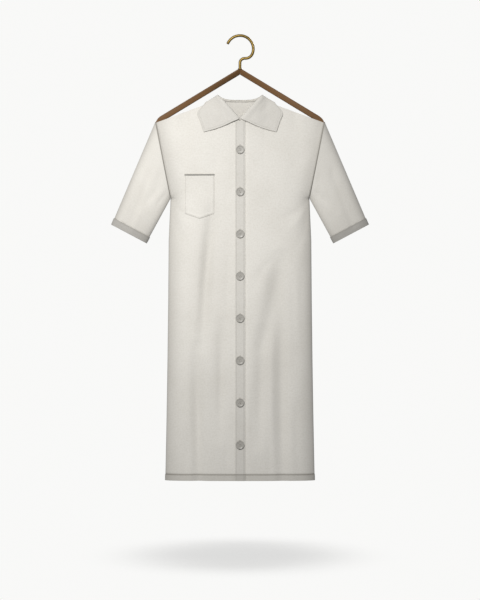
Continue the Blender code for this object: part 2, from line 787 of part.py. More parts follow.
def make_arm(name, side, collection, shank_hole):
    outline = bpy.data.curves.new(name + "_outline", "CURVE")
    outline.dimensions = "2D"
    outline.fill_mode = "BOTH"
    outline.extrude = ARM_HALF_THICKNESS - ARM_EDGE_ROUND
    outline.bevel_depth = ARM_EDGE_ROUND
    outline.bevel_resolution = 2
    outline.offset = -ARM_EDGE_ROUND
    spline = outline.splines.new("POLY")
    points = arm_outline()
    spline.points.add(len(points) - 1)
    for place, (x, z) in zip(spline.points, points):
        place.co = (side * x, z, 0, 1)
    spline.use_cyclic_u = True
    flat = bpy.data.objects.new(name + "_outline", outline)
    flat.rotation_euler = (math.pi / 2, 0, 0)
    collection.objects.link(flat)
    mesh = mesh_of(flat)
    mesh.transform(flat.matrix_world)
    bpy.data.objects.remove(flat)
    mitre(mesh, side)
    arm = bpy.data.objects.new(name, mesh)
    drill = arm.modifiers.new("shank_hole", "BOOLEAN")
    drill.operation = "DIFFERENCE"
    drill.object = shank_hole
    return arm


def make_shank_hole(cutters):
    seat = arm_outline()[0][1]
    radius = SHANK_RADIUS + SEAM
    bm = bmesh.new()
    bmesh.ops.create_cone(
        bm,
        cap_ends=True,
        segments=16,
        radius1=radius,
        radius2=radius,
        depth=2 * (SHANK_DEPTH + SEAM),
        matrix=Matrix.Translation((0, 0, seat)),
    )
    mesh = bpy.data.meshes.new("shank_hole")
    bm.to_mesh(mesh)
    bm.free()
    hole = bpy.data.objects.new("shank_hole", mesh)
    hole.hide_render = True
    hole.display_type = "WIRE"
    cutters.objects.link(hole)
    return hole


def hook_path():
    """Centre line of the hook: three arcs that flow into each other, then the straight stem."""
    turn = math.acos(
        (HOOK_OUTER_BEND - (HOOK_RADIUS - HOOK_INNER_BEND) * math.cos(HOOK_TURN_ANGLE))
        / (HOOK_INNER_BEND + HOOK_OUTER_BEND)
    )
    inner = Vector((math.cos(HOOK_TURN_ANGLE), math.sin(HOOK_TURN_ANGLE))) * (HOOK_RADIUS - HOOK_INNER_BEND)
    outer = inner + Vector((math.cos(-turn), math.sin(-turn))) * (HOOK_INNER_BEND + HOOK_OUTER_BEND)
    path = []
    for k in range(19):
        angle = lerp(HOOK_TIP_ANGLE, HOOK_TURN_ANGLE, k / 18)
        path.append(Vector((math.cos(angle), math.sin(angle))) * HOOK_RADIUS)
    for k in range(1, 9):
        angle = lerp(HOOK_TURN_ANGLE, -turn, k / 8)
        path.append(inner + Vector((math.cos(angle), math.sin(angle))) * HOOK_INNER_BEND)
    for k in range(1, 8):
        angle = lerp(math.pi - turn, math.pi, k / 7)
        path.append(outer + Vector((math.cos(angle), math.sin(angle))) * HOOK_OUTER_BEND)
    return [(p.x, p.y + HOOK_CENTRE_Z) for p in path]


def make_hook(collection):
    seat = arm_outline()[0][1] + SEAM
    rod = [(x, z, 1.0) for x, z in hook_path()]
    shank = SHANK_RADIUS / ROD_RADIUS
    rod += [(0.0, seat + SEAM, 1.0), (0.0, seat, shank), (0.0, seat - SHANK_DEPTH, shank)]
    curve = bpy.data.curves.new("hanger_hook_rod", "CURVE")
    curve.dimensions = "3D"
    curve.bevel_depth = ROD_RADIUS
    curve.bevel_resolution = 2
    curve.use_fill_caps = True
    spline = curve.splines.new("POLY")
    spline.points.add(len(rod) - 1)
    for place, (x, z, radius) in zip(spline.points, rod):
        place.co = (x, 0, z, 1)
        place.radius = radius
    rod_curve = bpy.data.objects.new("hanger_hook_rod", curve)
    collection.objects.link(rod_curve)
    mesh = mesh_of(rod_curve)
    bpy.data.objects.remove(rod_curve)
    return bpy.data.objects.new("hanger_hook", mesh)


def main():
    remove_everything()
    scene = bpy.context.scene.collection
    parts = bpy.data.collections.new("shirt_on_hanger")
    cutters = bpy.data.collections.new("cutters")
    cutters.hide_render = True
    scene.children.link(parts)
    scene.children.link(cutters)
    linen = make_material("linen", LINEN, 0.9)
    cuff_linen = make_material("cuff_linen", SHADED_LINEN, 0.9)
    button_grey = make_material("button_grey", BUTTON_GREY, 0.45)
    wood = make_material("wood", WOOD, 0.5)
    brass = make_material("brass", BRASS, 0.35, 1.0)

    for piece in (make_front_right(), make_front_left(), make_back(), make_placket(), make_pocket()):
        link(piece, parts, linen)
    link(make_pocket_binding(), parts, cuff_linen)
    link(make_collar(), parts, linen)
    for side, word in ((-1, "right"), (1, "left")):
        link(make_sleeve(f"sleeve_{word}", side), parts, linen)
        link(make_cuff(f"cuff_{word}", side), parts, cuff_linen)
    make_buttons(parts, cutters, button_grey)
    shank_hole = make_shank_hole(cutters)
    for side, word in ((-1, "right"), (1, "left")):
        link(make_arm(f"hanger_arm_{word}", side, parts, shank_hole), parts, wood)
    link(make_hook(parts), parts, brass)


main()
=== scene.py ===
import math
from collections import namedtuple

import bpy
import numpy as np
from mathutils import Matrix, Vector


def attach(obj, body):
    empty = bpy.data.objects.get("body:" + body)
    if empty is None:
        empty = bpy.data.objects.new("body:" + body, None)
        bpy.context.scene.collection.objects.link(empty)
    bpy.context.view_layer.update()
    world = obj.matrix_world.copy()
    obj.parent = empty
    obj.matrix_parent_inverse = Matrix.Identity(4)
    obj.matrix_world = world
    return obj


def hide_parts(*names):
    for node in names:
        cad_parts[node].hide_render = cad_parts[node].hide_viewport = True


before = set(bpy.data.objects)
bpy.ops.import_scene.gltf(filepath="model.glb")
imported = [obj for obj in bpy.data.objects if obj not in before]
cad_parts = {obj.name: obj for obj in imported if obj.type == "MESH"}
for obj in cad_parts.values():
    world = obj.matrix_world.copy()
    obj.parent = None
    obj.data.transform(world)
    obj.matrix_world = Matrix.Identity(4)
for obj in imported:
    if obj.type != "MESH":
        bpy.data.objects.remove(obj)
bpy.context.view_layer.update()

# Everything is in metres. The front faces -Y, and right and left are the wearer's.

# tools for shaping


def lerp(a, b, t):
    return a + (b - a) * t


def smooth(t):
    t = np.clip(t, 0.0, 1.0)
    return t * t * (3 - 2 * t)


def soft(distance, width):
    return np.exp(-((distance / width) ** 2))


def deselect():
    if bpy.context.object and bpy.context.object.mode != "OBJECT":
        bpy.ops.object.mode_set(mode="OBJECT")
    bpy.ops.object.select_all(action="DESELECT")


def pickUp(piece):
    deselect()
    piece.select_set(True)
    bpy.context.view_layer.objects.active = piece


def applyModifier(piece, kind, **settings):
    pickUp(piece)
    modifier = piece.modifiers.new(kind.lower(), kind)
    for name, value in settings.items():
        setattr(modifier, name, value)
    bpy.ops.object.modifier_apply(modifier=modifier.name)


def bevelEdges(piece, width, segments, degrees):
    # rounds the edges that turn by more than this angle
    limits = {"limit_method": "ANGLE", "angle_limit": math.radians(degrees)}
    applyModifier(piece, "BEVEL", width=width, segments=segments, **limits)


def editAll(piece, *steps):
    # runs edit-mode operators on the whole piece
    pickUp(piece)
    bpy.ops.object.mode_set(mode="EDIT")
    bpy.ops.mesh.select_all(action="SELECT")
    for operator, settings in steps:
        operator(**settings)
    bpy.ops.object.mode_set(mode="OBJECT")


def turnOutwards(piece):
    # merges the doubles, then points every face outwards
    editAll(
        piece,
        (bpy.ops.mesh.remove_doubles, {"threshold": 1e-6}),
        (bpy.ops.mesh.normals_make_consistent, {"inside": False}),
    )


def shadeSmooth(piece, degrees=None):
    # smooth all over, or where faces meet at less than this angle
    pickUp(piece)
    if degrees is None:
        bpy.ops.object.shade_smooth()
    else:
        bpy.ops.object.shade_smooth_by_angle(angle=math.radians(degrees))


def newObject(name, data):
    made = bpy.data.objects.new(name, data)
    bpy.context.scene.collection.objects.link(made)
    return made


def runOver(points, axis=0):
    # distances over a line or a grid of points, from its start
    steps = np.linalg.norm(np.diff(points, axis=axis), axis=-1)
    return np.insert(np.cumsum(steps, axis=axis), 0, 0.0, axis=axis)


def gridNormals(points):
    across = np.gradient(points, axis=1)
    along = np.gradient(points, axis=0)
    normals = np.cross(across, along)
    return normals / np.maximum(np.linalg.norm(normals, axis=2, keepdims=True), 1e-12)


def facing(normals, outward):
    # the same normals, turned to the side that outward points to
    turned = np.sum(normals * outward, axis=2, keepdims=True)
    return np.where(turned < 0, -normals, normals)


Sheet = namedtuple("Sheet", "points normals")
cloths = {}  # each piece of cloth with its cut


def makeSheet(name, points, normals, uv, shade, wall, closed=False, edge=0.0003):
    # a grid laid on the points, given its thickness inwards and rounded edges
    rows, columns = points.shape[:2]
    deselect()
    bpy.ops.mesh.primitive_grid_add(x_subdivisions=columns - 1, y_subdivisions=rows - 1, size=1)
    piece = bpy.context.object
    piece.name = piece.data.name = f"{name}_cloth"
    mesh = piece.data
    start = np.empty(len(mesh.vertices) * 3)
    mesh.vertices.foreach_get("co", start)
    start = start.reshape(-1, 3)
    column = np.rint((start[:, 0] + 0.5) * (columns - 1)).astype(int)
    row = np.rint((start[:, 1] + 0.5) * (rows - 1)).astype(int)
    mesh.vertices.foreach_set("co", points[row, column].ravel())
    corner = np.empty(len(mesh.loops), dtype=np.int32)
    mesh.loops.foreach_get("vertex_index", corner)
    layer = mesh.uv_layers[0]
    layer.name = "cloth"
    layer.data.foreach_set("uv", uv[row, column][corner].ravel())
    # the 'seam' attribute: seam and hem lines, and painted shade
    seamAndShadeMarks = mesh.attributes.new("seam", "FLOAT", "POINT")
    seamAndShadeMarks.data.foreach_set("value", np.clip(shade, 0, 1)[row, column].astype(np.float32))
    mesh.update()
    middle = mesh.polygons[len(mesh.polygons) // 2 + columns // 3]
    nearest = middle.vertices[0]
    if Vector(normals[row[nearest], column[nearest]]).dot(middle.normal) < 0:
        editAll(piece, (bpy.ops.mesh.flip_normals, {}))
    if closed:
        editAll(piece, (bpy.ops.mesh.remove_doubles, {"threshold": 1e-6}))
    applyModifier(piece, "SOLIDIFY", thickness=wall, offset=-1.0, use_even_offset=False)
    bevelEdges(piece, edge, 2, 60)
    shadeSmooth(piece)
    return piece


def finishPiece(piece, materialOf, slotName, *nodes):
    piece.data.materials.clear()
    piece.data.materials.append(materialOf)
    if nodes:
        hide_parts(*nodes)
    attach(piece, "root")
    return piece


def makeCloth(name, points, normals, uv, shade, wall, stuff, slotName, cut, **form):
    piece = makeSheet(name, points, normals, uv, shade, wall, **form)
    cloths[name] = (finishPiece(piece, stuff, slotName, name), cut)
    return Sheet(points, normals)


# materials


class Wire:
    # a node's socket that Python's operators can work on
    def __init__(self, tree, socket):
        self.tree, self.socket = tree, socket

    def node(self, kind, settings=None, sockets=None, output=0):
        made = self.tree.nodes.new(kind)
        for name, value in (settings or {}).items():
            if name == "stops":
                stops = made.color_ramp.elements
                while len(stops) < len(value):
                    stops.new(0.5)
                for stop, (place, colour) in zip(stops, value):
                    stop.position, stop.color = place, colour
            else:
                setattr(made, name, value)
        for name, value in (sockets or {}).items():
            if isinstance(value, Wire):
                self.tree.links.new(value.socket, made.inputs[name])
            else:
                made.inputs[name].default_value = value
        return Wire(self.tree, made.outputs[output])

    def maths(self, operation, *values):
        return self.node("ShaderNodeMath", {"operation": operation}, dict(enumerate(values)))

    def __add__(self, other):
        return self.maths("ADD", self, other)

    def __mul__(self, other):
        return self.maths("MULTIPLY", self, other)

    def __rsub__(self, other):
        return self.maths("SUBTRACT", other, self)

    __radd__, __rmul__ = __add__, __mul__

    def noise(self, scale, detail=2.0, roughness=0.5, stretch=(1, 1, 1)):
        placed = self.node("ShaderNodeMapping", None, {"Vector": self, "Scale": stretch})
        sockets = {"Vector": placed, "Scale": scale, "Detail": detail, "Roughness": roughness}
        return placed.node("ShaderNodeTexNoise", None, sockets)

    def between(self, low, high):
        # 0 below low, 1 above high
        limits = {"Value": self, "From Min": low, "From Max": high}
        return self.node("ShaderNodeMapRange", {"interpolation_type": "SMOOTHSTEP"}, limits)

    def blend(self, first, second):
        # first where this is 0, second where it is 1
        return self.node("ShaderNodeMix", {"data_type": "RGBA"}, {0: self, 6: first, 7: second}, output=2)


def newMaterial(name, roughness=0.5, **constants):
    material = bpy.data.materials.new(name)
    material.use_nodes = True
    shader = material.node_tree.nodes["Principled BSDF"]
    shader.inputs["Roughness"].default_value = roughness
    for socket, value in constants.items():
        shader.inputs[socket.replace("_", " ")].default_value = value
    return material, shader, Wire(material.node_tree, None)


def feed(shader, **wires):
    # links what changes over the surface
    for name, wire in wires.items():
        wire.tree.links.new(wire.socket, shader.inputs[name.replace("_", " ")])


def colourOf(red, green, blue):
    # a colour read as 0 to 255, in the renderer's own light
    values = [c / 255 for c in (red, green, blue)]
    return (*[c / 12.92 if c < 0.04045 else ((c + 0.055) / 1.055) ** 2.4 for c in values], 1.0)


def dimmed(colour, factor):
    return (*[c * factor for c in colour[:3]], 1.0)


linenLook = {
    "cloth": colourOf(232, 229, 222),
    "slub": colourOf(214, 210, 201),
    # the dark colour for seams and hems, also used for painted shade
    "seamAndShadeColour": colourOf(150, 146, 138),
    "thread": 0.00085,
    "slubLength": 0.016,
    "slubWidth": 0.0011,
    "patchScale": 9.0,
    "heatherScale": 230.0,
    "fuzzScale": 420.0,
    "reliefStrength": 0.35,
    "reliefHeight": 0.00035,
}


def makeLinen(name, tint=1.0):
    look = linenLook
    material, shader, base = newMaterial(
        name, 0.92, Sheen_Weight=0.12, Sheen_Roughness=0.5, Specular_IOR_Level=0.25
    )
    sheet = base.node("ShaderNodeUVMap", {"uv_map": "cloth"})
    parted = sheet.node("ShaderNodeSeparateXYZ", None, {"Vector": sheet})
    across, down = parted, Wire(base.tree, parted.socket.node.outputs[1])
    turns = math.tau / look["thread"]
    # slubs are thick places in the yarn, long one way and thin the other
    fineness, stretch = 1 / look["slubWidth"], look["slubWidth"] / look["slubLength"]
    weft = sheet.noise(fineness, 2, 0.6, (stretch, 1, 1))
    warp = sheet.noise(fineness, 2, 0.6, (1, stretch, 1))
    slubs = weft.between(0.50, 0.72) * 0.55 + warp.between(0.52, 0.74) * 0.45
    patches = sheet.noise(look["patchScale"], 3, 0.55)
    heather = sheet.noise(look["heatherScale"], 3, 0.7)
    threads = (across * turns).maths("SINE", across * turns) * (down * turns).maths("SINE", down * turns)
    uneven = slubs * 0.55 + heather.between(0.35, 0.68) * 0.36 + patches.between(0.35, 0.75) * 0.25
    pale = uneven.blend(dimmed(look["cloth"], tint), dimmed(look["slub"], tint))
    # the 'seam' attribute darkens the cloth at seam and hem lines, and as painted shade along edges, over the
    # sleeves and in fold hollows
    seamAndShadeMask = base.node("ShaderNodeAttribute", {"attribute_name": "seam"}, output=2)
    seamedAndShaded = seamAndShadeMask.blend(pale, dimmed(look["seamAndShadeColour"], tint))
    grain = slubs * 0.8 + threads * 0.16 + sheet.noise(look["fuzzScale"], 2) * 0.5
    relief = {"Strength": look["reliefStrength"], "Distance": look["reliefHeight"], "Height": grain}
    feed(shader, Base_Color=seamedAndShaded, Normal=base.node("ShaderNodeBump", None, relief))
    return material


def makeThread(name, colour):
    material, shader, base = newMaterial(name, 0.75, Sheen_Weight=0.2)
    place = base.node("ShaderNodeTexCoord", output=3)
    fibre = place.noise(2600.0, 1)
    feed(shader, Base_Color=fibre.blend(colour, dimmed(colour, 0.8)))
    return material


woodLook = {"pale": colourOf(118, 87, 56), "dark": colourOf(80, 57, 36), "slope": math.atan(0.606)}


def makeWood(name, slope):
    # stained wood, with its grain along the arm
    material, shader, base = newMaterial(name, 0.6, Specular_IOR_Level=0.18)
    place = base.node("ShaderNodeTexCoord", output=3)
    grain = place.node("ShaderNodeMapping", None, {"Vector": place, "Rotation": (0, slope, 0)})
    pores = grain.noise(18.0, 4, 0.65, (6.0, 60.0, 60.0))
    bands = grain.noise(2.2, 2, 0.5, (1.4, 22.0, 22.0))
    dark = pores.between(0.50, 0.70) * 0.55 + bands.between(0.40, 0.66) * 0.45
    colour = dark.blend(woodLook["pale"], woodLook["dark"])
    relief = base.node("ShaderNodeBump", None, {"Strength": 0.25, "Distance": 0.0003, "Height": 1 - dark})
    feed(shader, Base_Color=colour, Roughness=dark * 0.12 + 0.58, Normal=relief)
    return material


brassLook = {"bright": colourOf(142, 119, 66), "dull": colourOf(118, 98, 54)}


def makeBrass(name):
    # drawn brass rod, a little dulled where hands and rails rub it
    material, shader, base = newMaterial(name, 0.34, Metallic=1.0)
    place = base.node("ShaderNodeTexCoord", output=3)
    dulled = place.noise(70.0, 4, 0.6).between(0.42, 0.70)
    drawn = place.noise(900.0, 1)
    colour = dulled.blend(brassLook["bright"], brassLook["dull"])
    feed(shader, Base_Color=colour, Roughness=dulled * 0.16 + drawn * 0.06 + 0.38)
    return material


shellLook = {"clear": colourOf(178, 175, 168), "clouded": colourOf(162, 159, 152)}


def makeButtonStuff(name):
    # grey, faintly clouded like polished shell
    material, shader, base = newMaterial(name, 0.32, Coat_Weight=0.2, Coat_Roughness=0.2)
    place = base.node("ShaderNodeTexCoord", output=3)
    clouds = place.noise(160.0, 3, 0.6, (1, 1, 2.5)).between(0.35, 0.70)
    colour = clouds.blend(shellLook["clear"], shellLook["clouded"])
    feed(shader, Base_Color=colour, Roughness=clouds * 0.12 + 0.30)
    return material


linen = makeLinen("linen")
facedLinen = makeLinen("linen_two_layers", 0.88)
trimLinen = makeLinen("linen_trim", 0.54)
thread = makeThread("sewing_thread", colourOf(186, 182, 172))
buttonThread = makeThread("button_thread", colourOf(205, 201, 192))
buttonStuff = makeButtonStuff("button_grey")
woodRight = makeWood("stained_wood_right", woodLook["slope"])
woodLeft = makeWood("stained_wood_left", -woodLook["slope"])
brass = makeBrass("brass_rod")
print("materials made")

# the shirt's form, the same sizes as its solids

bodySizes = {
    "levels": (-1.1740, -1.0150, -0.8560, -0.6970, -0.5380, -0.4280),
    "halfWidths": (0.1980, 0.1948, 0.1922, 0.1903, 0.1890, 0.1840),
    "halfDepths": (0.0330, 0.0315, 0.0300, 0.0280, 0.0262, 0.0250),
    "yokeDepth": 0.0230,
    "shoulder": (0.2243, -0.2245),
    "underarm": (0.1840, -0.4280),
    "armholeDepth": 0.0240,
    "ridgeLength": 0.055,
    "armholeBlend": 0.012,
    "seam": 0.0003,
    "ringPoints": 24,
    "foldStrength": 1.75,
    "rippleHeight": 0.00028,
}
neckSizes = {
    "columns": (0.0, 0.0132, 0.0222, 0.0385, 0.0496, 0.0582, 0.0636),
    "top": -0.1683,
    "frontDrop": 0.0557,
    "backDrop": 0.0030,
    "frontDepth": 0.0200,
    "backDepth": 0.0160,
    "curve": 1.2,
    "slitStart": 0.172,
    "slitTaper": 0.030,
}
hemSizes = {"height": 0.0160, "step": 0.0015, "raise": 0.0009}
shellWall = 0.0009  # the real cloth's look, thinner than the solid walls

Fold = namedtuple("Fold", "xTop xBottom zTop zBottom width depth")
frontFolds = (
    Fold(-0.072, -0.104, -0.430, -0.840, 0.0165, 0.0072),
    Fold(-0.116, -0.106, -0.800, -1.300, 0.0170, 0.0070),
    Fold(-0.048, -0.052, -0.740, -1.080, 0.014, 0.0038),
    Fold(0.112, 0.060, -0.560, -0.840, 0.022, 0.0052),
    Fold(0.058, 0.052, -0.760, -1.100, 0.017, 0.0046),
    Fold(0.106, 0.114, -0.620, -1.330, 0.018, 0.0062),
)
backFolds = (
    Fold(-0.062, -0.090, -0.380, -1.360, 0.024, 0.0070),
    Fold(0.044, 0.070, -0.520, -1.360, 0.022, 0.0062),
    Fold(0.122, 0.134, -0.600, -1.340, 0.017, 0.0050),
    Fold(-0.138, -0.146, -0.680, -1.320, 0.015, 0.0042),
)

# Creases are smaller: each runs from one place to another, bowed sideways. Ridges have a depth below 0.
Crease = namedtuple("Crease", "x z toX toZ width depth bow")
frontCreases = (
    Crease(-0.181, -0.432, -0.128, -0.486, 0.0075, 0.0020, 0.004),
    Crease(-0.182, -0.446, -0.146, -0.548, 0.0080, 0.0022, 0.005),
    Crease(-0.172, -0.436, -0.132, -0.452, 0.0060, -0.0012, 0.002),
    Crease(0.181, -0.434, 0.121, -0.478, 0.0080, 0.0021, -0.004),
    Crease(0.182, -0.450, 0.150, -0.560, 0.0085, 0.0020, -0.005),
    Crease(0.170, -0.458, 0.128, -0.520, 0.0065, -0.0011, -0.003),
    Crease(-0.204, -0.262, -0.150, -0.352, 0.0105, 0.0014, 0.006),
    Crease(0.205, -0.256, 0.146, -0.338, 0.0105, 0.0015, -0.005),
    Crease(-0.066, -0.560, -0.082, -0.700, 0.0090, -0.0016, 0.005),
    Crease(-0.124, -0.600, -0.136, -0.812, 0.0105, 0.0017, -0.006),
    Crease(-0.151, -0.720, -0.158, -1.010, 0.0095, 0.0016, 0.004),
    Crease(-0.030, -0.600, -0.034, -0.742, 0.0075, 0.0010, 0.002),
    Crease(-0.071, -0.900, -0.078, -1.172, 0.0090, 0.0018, 0.004),
    Crease(-0.140, -1.040, -0.147, -1.190, 0.0085, 0.0022, -0.002),
    Crease(-0.034, -1.060, -0.031, -1.190, 0.0075, 0.0014, 0.002),
    Crease(0.084, -0.590, 0.036, -0.662, 0.0085, 0.0013, 0.006),
    Crease(0.134, -0.640, 0.141, -0.930, 0.0100, 0.0016, -0.006),
    Crease(0.083, -0.860, 0.087, -1.090, 0.0085, -0.0014, 0.003),
    Crease(0.034, -0.930, 0.033, -1.080, 0.0070, 0.0010, 0.002),
    Crease(0.072, -1.030, 0.078, -1.190, 0.0080, 0.0020, -0.002),
    Crease(0.148, -1.000, 0.157, -1.190, 0.0085, 0.0019, 0.003),
    Crease(0.060, -0.300, 0.096, -0.392, 0.0120, 0.0010, 0.005),
    Crease(-0.056, -0.286, -0.066, -0.356, 0.0110, 0.0009, -0.003),
    Crease(0.164, -0.620, 0.168, -0.860, 0.0075, 0.0013, 0.003),
)
backCreases = (
    Crease(-0.181, -0.434, -0.118, -0.500, 0.0085, 0.0023, 0.006),
    Crease(-0.182, -0.452, -0.144, -0.590, 0.0090, 0.0020, 0.006),
    Crease(0.181, -0.436, 0.122, -0.490, 0.0080, 0.0022, -0.005),
    Crease(0.182, -0.452, 0.148, -0.570, 0.0085, 0.0019, -0.005),
    Crease(-0.196, -0.270, -0.108, -0.372, 0.0120, 0.0017, 0.010),
    Crease(0.198, -0.262, 0.116, -0.350, 0.0115, 0.0016, -0.009),
    Crease(-0.100, -0.520, -0.112, -0.770, 0.0110, 0.0018, -0.007),
    Crease(-0.022, -0.440, -0.014, -0.760, 0.0120, 0.0017, 0.007),
    Crease(0.012, -0.700, 0.022, -1.060, 0.0110, 0.0019, -0.005),
    Crease(0.092, -0.560, 0.104, -0.820, 0.0095, -0.0014, 0.004),
    Crease(0.156, -0.700, 0.162, -0.960, 0.0085, 0.0015, -0.003),
    Crease(-0.040, -0.960, -0.046, -1.190, 0.0095, 0.0024, 0.004),
    Crease(0.030, -1.020, 0.036, -1.190, 0.0085, 0.0020, 0.003),
    Crease(0.102, -1.010, 0.100, -1.190, 0.0090, 0.0022, -0.003),
    Crease(-0.116, -0.980, -0.118, -1.190, 0.0080, 0.0018, 0.002),
    Crease(0.164, -1.060, 0.170, -1.190, 0.0075, 0.0016, 0.001),
)


def halfWidth(z):
    sizes = bodySizes
    places = (*sizes["levels"], sizes["shoulder"][1])
    return np.interp(z, places, (*sizes["halfWidths"], sizes["shoulder"][0]))


cornerAngle = math.tau / bodySizes["ringPoints"]
cornerShare = (1 + math.cos(cornerAngle)) / 2
shoulderX, shoulderZ = bodySizes["shoulder"]
underarmX, underarmZ = bodySizes["underarm"]
hemZ = bodySizes["levels"][0]
cornerX = lerp(underarmX, shoulderX, cornerShare)
cornerZ = lerp(underarmZ, shoulderZ, cornerShare)
neckX = neckSizes["columns"][-1]
halfSeam = bodySizes["seam"] / 2


def neckEdge(back):
    # height and depth of the neck's edge at its columns, then the shoulder
    sizes = neckSizes
    share = np.array(sizes["columns"]) / neckX
    round_ = np.sqrt(1 - share**2)
    if back:
        height, depth = sizes["top"] - sizes["backDrop"] * round_**2, sizes["backDepth"]
    else:
        rise = sizes["frontDrop"] * share ** sizes["curve"]
        height, depth = sizes["top"] - sizes["frontDrop"] + rise, sizes["frontDepth"]
    return height, np.maximum(shellWall, depth * round_)


def topZ(x, back):
    return np.interp(np.abs(x), (*neckSizes["columns"], cornerX), (*neckEdge(back)[0], cornerZ))


def topDepth(x, back):
    x = np.abs(x)
    neck = np.interp(x, neckSizes["columns"], neckEdge(back)[1])
    opening = smooth((x - neckSizes["slitStart"] + neckSizes["slitTaper"]) / neckSizes["slitTaper"])
    slit = bodySizes["armholeDepth"] * math.sin(cornerAngle) - halfSeam
    return np.where(x < neckX, neck, lerp(shellWall, slit, opening))


def foldDepth(x, z, back, wider=1.0):
    strength, total = bodySizes["foldStrength"], np.zeros_like(x)
    for fold in backFolds if back else frontFolds:
        share = np.clip((fold.zTop - z) / (fold.zTop - fold.zBottom), 0, 1)
        middle = lerp(fold.xTop, fold.xBottom, share)
        total += strength * fold.depth * np.sin(math.pi * share) ** 0.8 * soft(x - middle, wider * fold.width)
    return total


def creaseDepth(x, z, rows):
    total = np.zeros_like(x)
    for row in rows:
        run = np.array((row.toX - row.x, row.toZ - row.z))
        length = math.hypot(*run)
        run /= length
        along = ((x - row.x) * run[0] + (z - row.z) * run[1]) / length
        aside = (x - row.x) * run[1] - (z - row.z) * run[0]
        held = np.clip(along, 0, 1)
        bow = row.bow * np.sin(math.pi * held)
        beyond = np.maximum(0, np.abs(along - 0.5) - 0.5) * length
        strength = np.sin(math.pi * lerp(0.12, 0.88, held)) * soft(beyond, 2.2 * row.width)
        total += row.depth * strength * soft(aside - bow, row.width * lerp(0.95, 1.55, held))
    return total


def ripple(x, z, phase):
    # the faint unevenness of hanging cloth
    wave = np.sin(61 * x + 17 * z + phase) * np.sin(9.3 * z + 2.1 * phase)
    wave = wave + 0.6 * np.sin(118 * x - 23 * z + 2 * phase) * np.sin(14.7 * z + phase)
    wave = wave + 0.4 * np.sin(37 * z + 29 * x + 3 * phase) * np.sin(83 * x + phase)
    return bodySizes["rippleHeight"] * wave


def bodyForm(x, z, back):
    sizes = bodySizes
    ceiling = topZ(x, back)
    z = np.minimum(z, ceiling)
    width = halfWidth(z)
    share = np.minimum(1.0, np.abs(x) / width)
    rise = np.clip((z - underarmZ) / (shoulderZ - underarmZ), 0, 1)
    # the armhole's oval, eased away from the seam so that no line starts at the underarm
    ease = 0.9 * smooth((width - np.abs(x)) / 0.075)
    oval = np.sqrt(np.maximum(0, 1 - (2 * rise - 1) ** 2) + ease**2) - ease
    edge = sizes["armholeDepth"] * oval / (np.sqrt(1 + ease**2) - ease)
    middle = np.interp(z, sizes["levels"], sizes["halfDepths"])
    middle = np.where(z > underarmZ, lerp(sizes["halfDepths"][-1], sizes["yokeDepth"], rise), middle)
    rounded = np.sqrt(1 - share**4)
    form = lerp(rounded, 1 - share**4, smooth((z - underarmZ) / 0.06))
    flat = smooth((np.abs(x) - 0.014) / 0.016) if not back else 1.0  # the placket keeps the middle flat
    small = creaseDepth(x, z, backCreases if back else frontCreases) + ripple(x, z, 2.0 if back else 0.6)
    small = small * flat * smooth((width - np.abs(x)) / 0.012)
    openDepth = edge + (middle - edge) * form - (foldDepth(x, z, back) + small) * form
    closing = np.exp(-(ceiling - z) / sizes["ridgeLength"])
    inside = 1 - np.exp(-np.maximum(0, width - np.abs(x)) / sizes["armholeBlend"])
    weight = closing * inside
    total = np.maximum(1 - closing + weight, 1e-9)
    shaped = (openDepth * (1 - closing) + topDepth(x, back) * weight) / total
    return np.where(inside < 1e-9, openDepth, shaped)


def bodyDepth(x, z, back):
    # evened out up and down near the underarm, but not on the seam itself
    x, z = np.broadcast_arrays(np.asarray(x, float), np.asarray(z, float))
    reach = 0.018 * soft(z - underarmZ, 0.030) * smooth((halfWidth(z) - np.abs(x) - 0.0008) / 0.024)
    steps = ((-1.0, 1), (-0.5, 2), (0.0, 3), (0.5, 2), (1.0, 1))
    return sum(weight * bodyForm(x, z + step * reach, back) for step, weight in steps) / 9


def onPanel(x, z, back):
    x, z = np.broadcast_arrays(np.asarray(x, float), np.asarray(z, float))
    y = halfSeam + bodyDepth(x, z, back)
    return np.stack((x, y if back else -y, z), axis=-1)


def hemRaise(z):
    top = hemZ + hemSizes["height"]
    return hemSizes["raise"] * (1 - smooth((z - top + hemSizes["step"]) / hemSizes["step"]))


# panels

panelSizes = {
    "inner": 0.0222,
    "placket": 0.0132,
    "underlap": (0.0142, 0.0222),
    "underlapDrop": 0.0011,
    "sideColumns": 74,
    "middleColumns": 14,
    "backMiddleColumns": 16,
    "lowerRows": 130,
    "upperRows": 62,
    "hemRows": (0, 0.003, 0.006, 0.009, 0.012, 0.0135, 0.0145, 0.015, 0.0155, 0.016, 0.0166, 0.0174, 0.0186),
    "hemLine": 0.0166,
    "hemLineWidth": 0.0018,
    "hemFold": 0.0150,
    "feltedSeam": 0.0070,
    "seamRaise": 0.00035,
}
panelShades = {
    "hemLine": 0.85,
    "hem": 0.30,
    "armhole": 0.95,
    # these entries set painted shade: along the side edges, and in the fold hollows
    "upperEdgePaintedShade": 0.34,
    "lowerEdgePaintedShade": 0.22,
    "backEdgePaintedShade": 0.14,
    "edgeWidth": 0.028,
    "paintedHollowShade": 0.13,
    "hollowDepth": 0.0125,
    "hollowWider": 1.7,
}


def sideShares():
    # closer together towards the side seam, where the cloth turns
    t = np.linspace(0, 1, panelSizes["sideColumns"])
    return 1 - (1 - t) * lerp(1.0, 0.45, t)


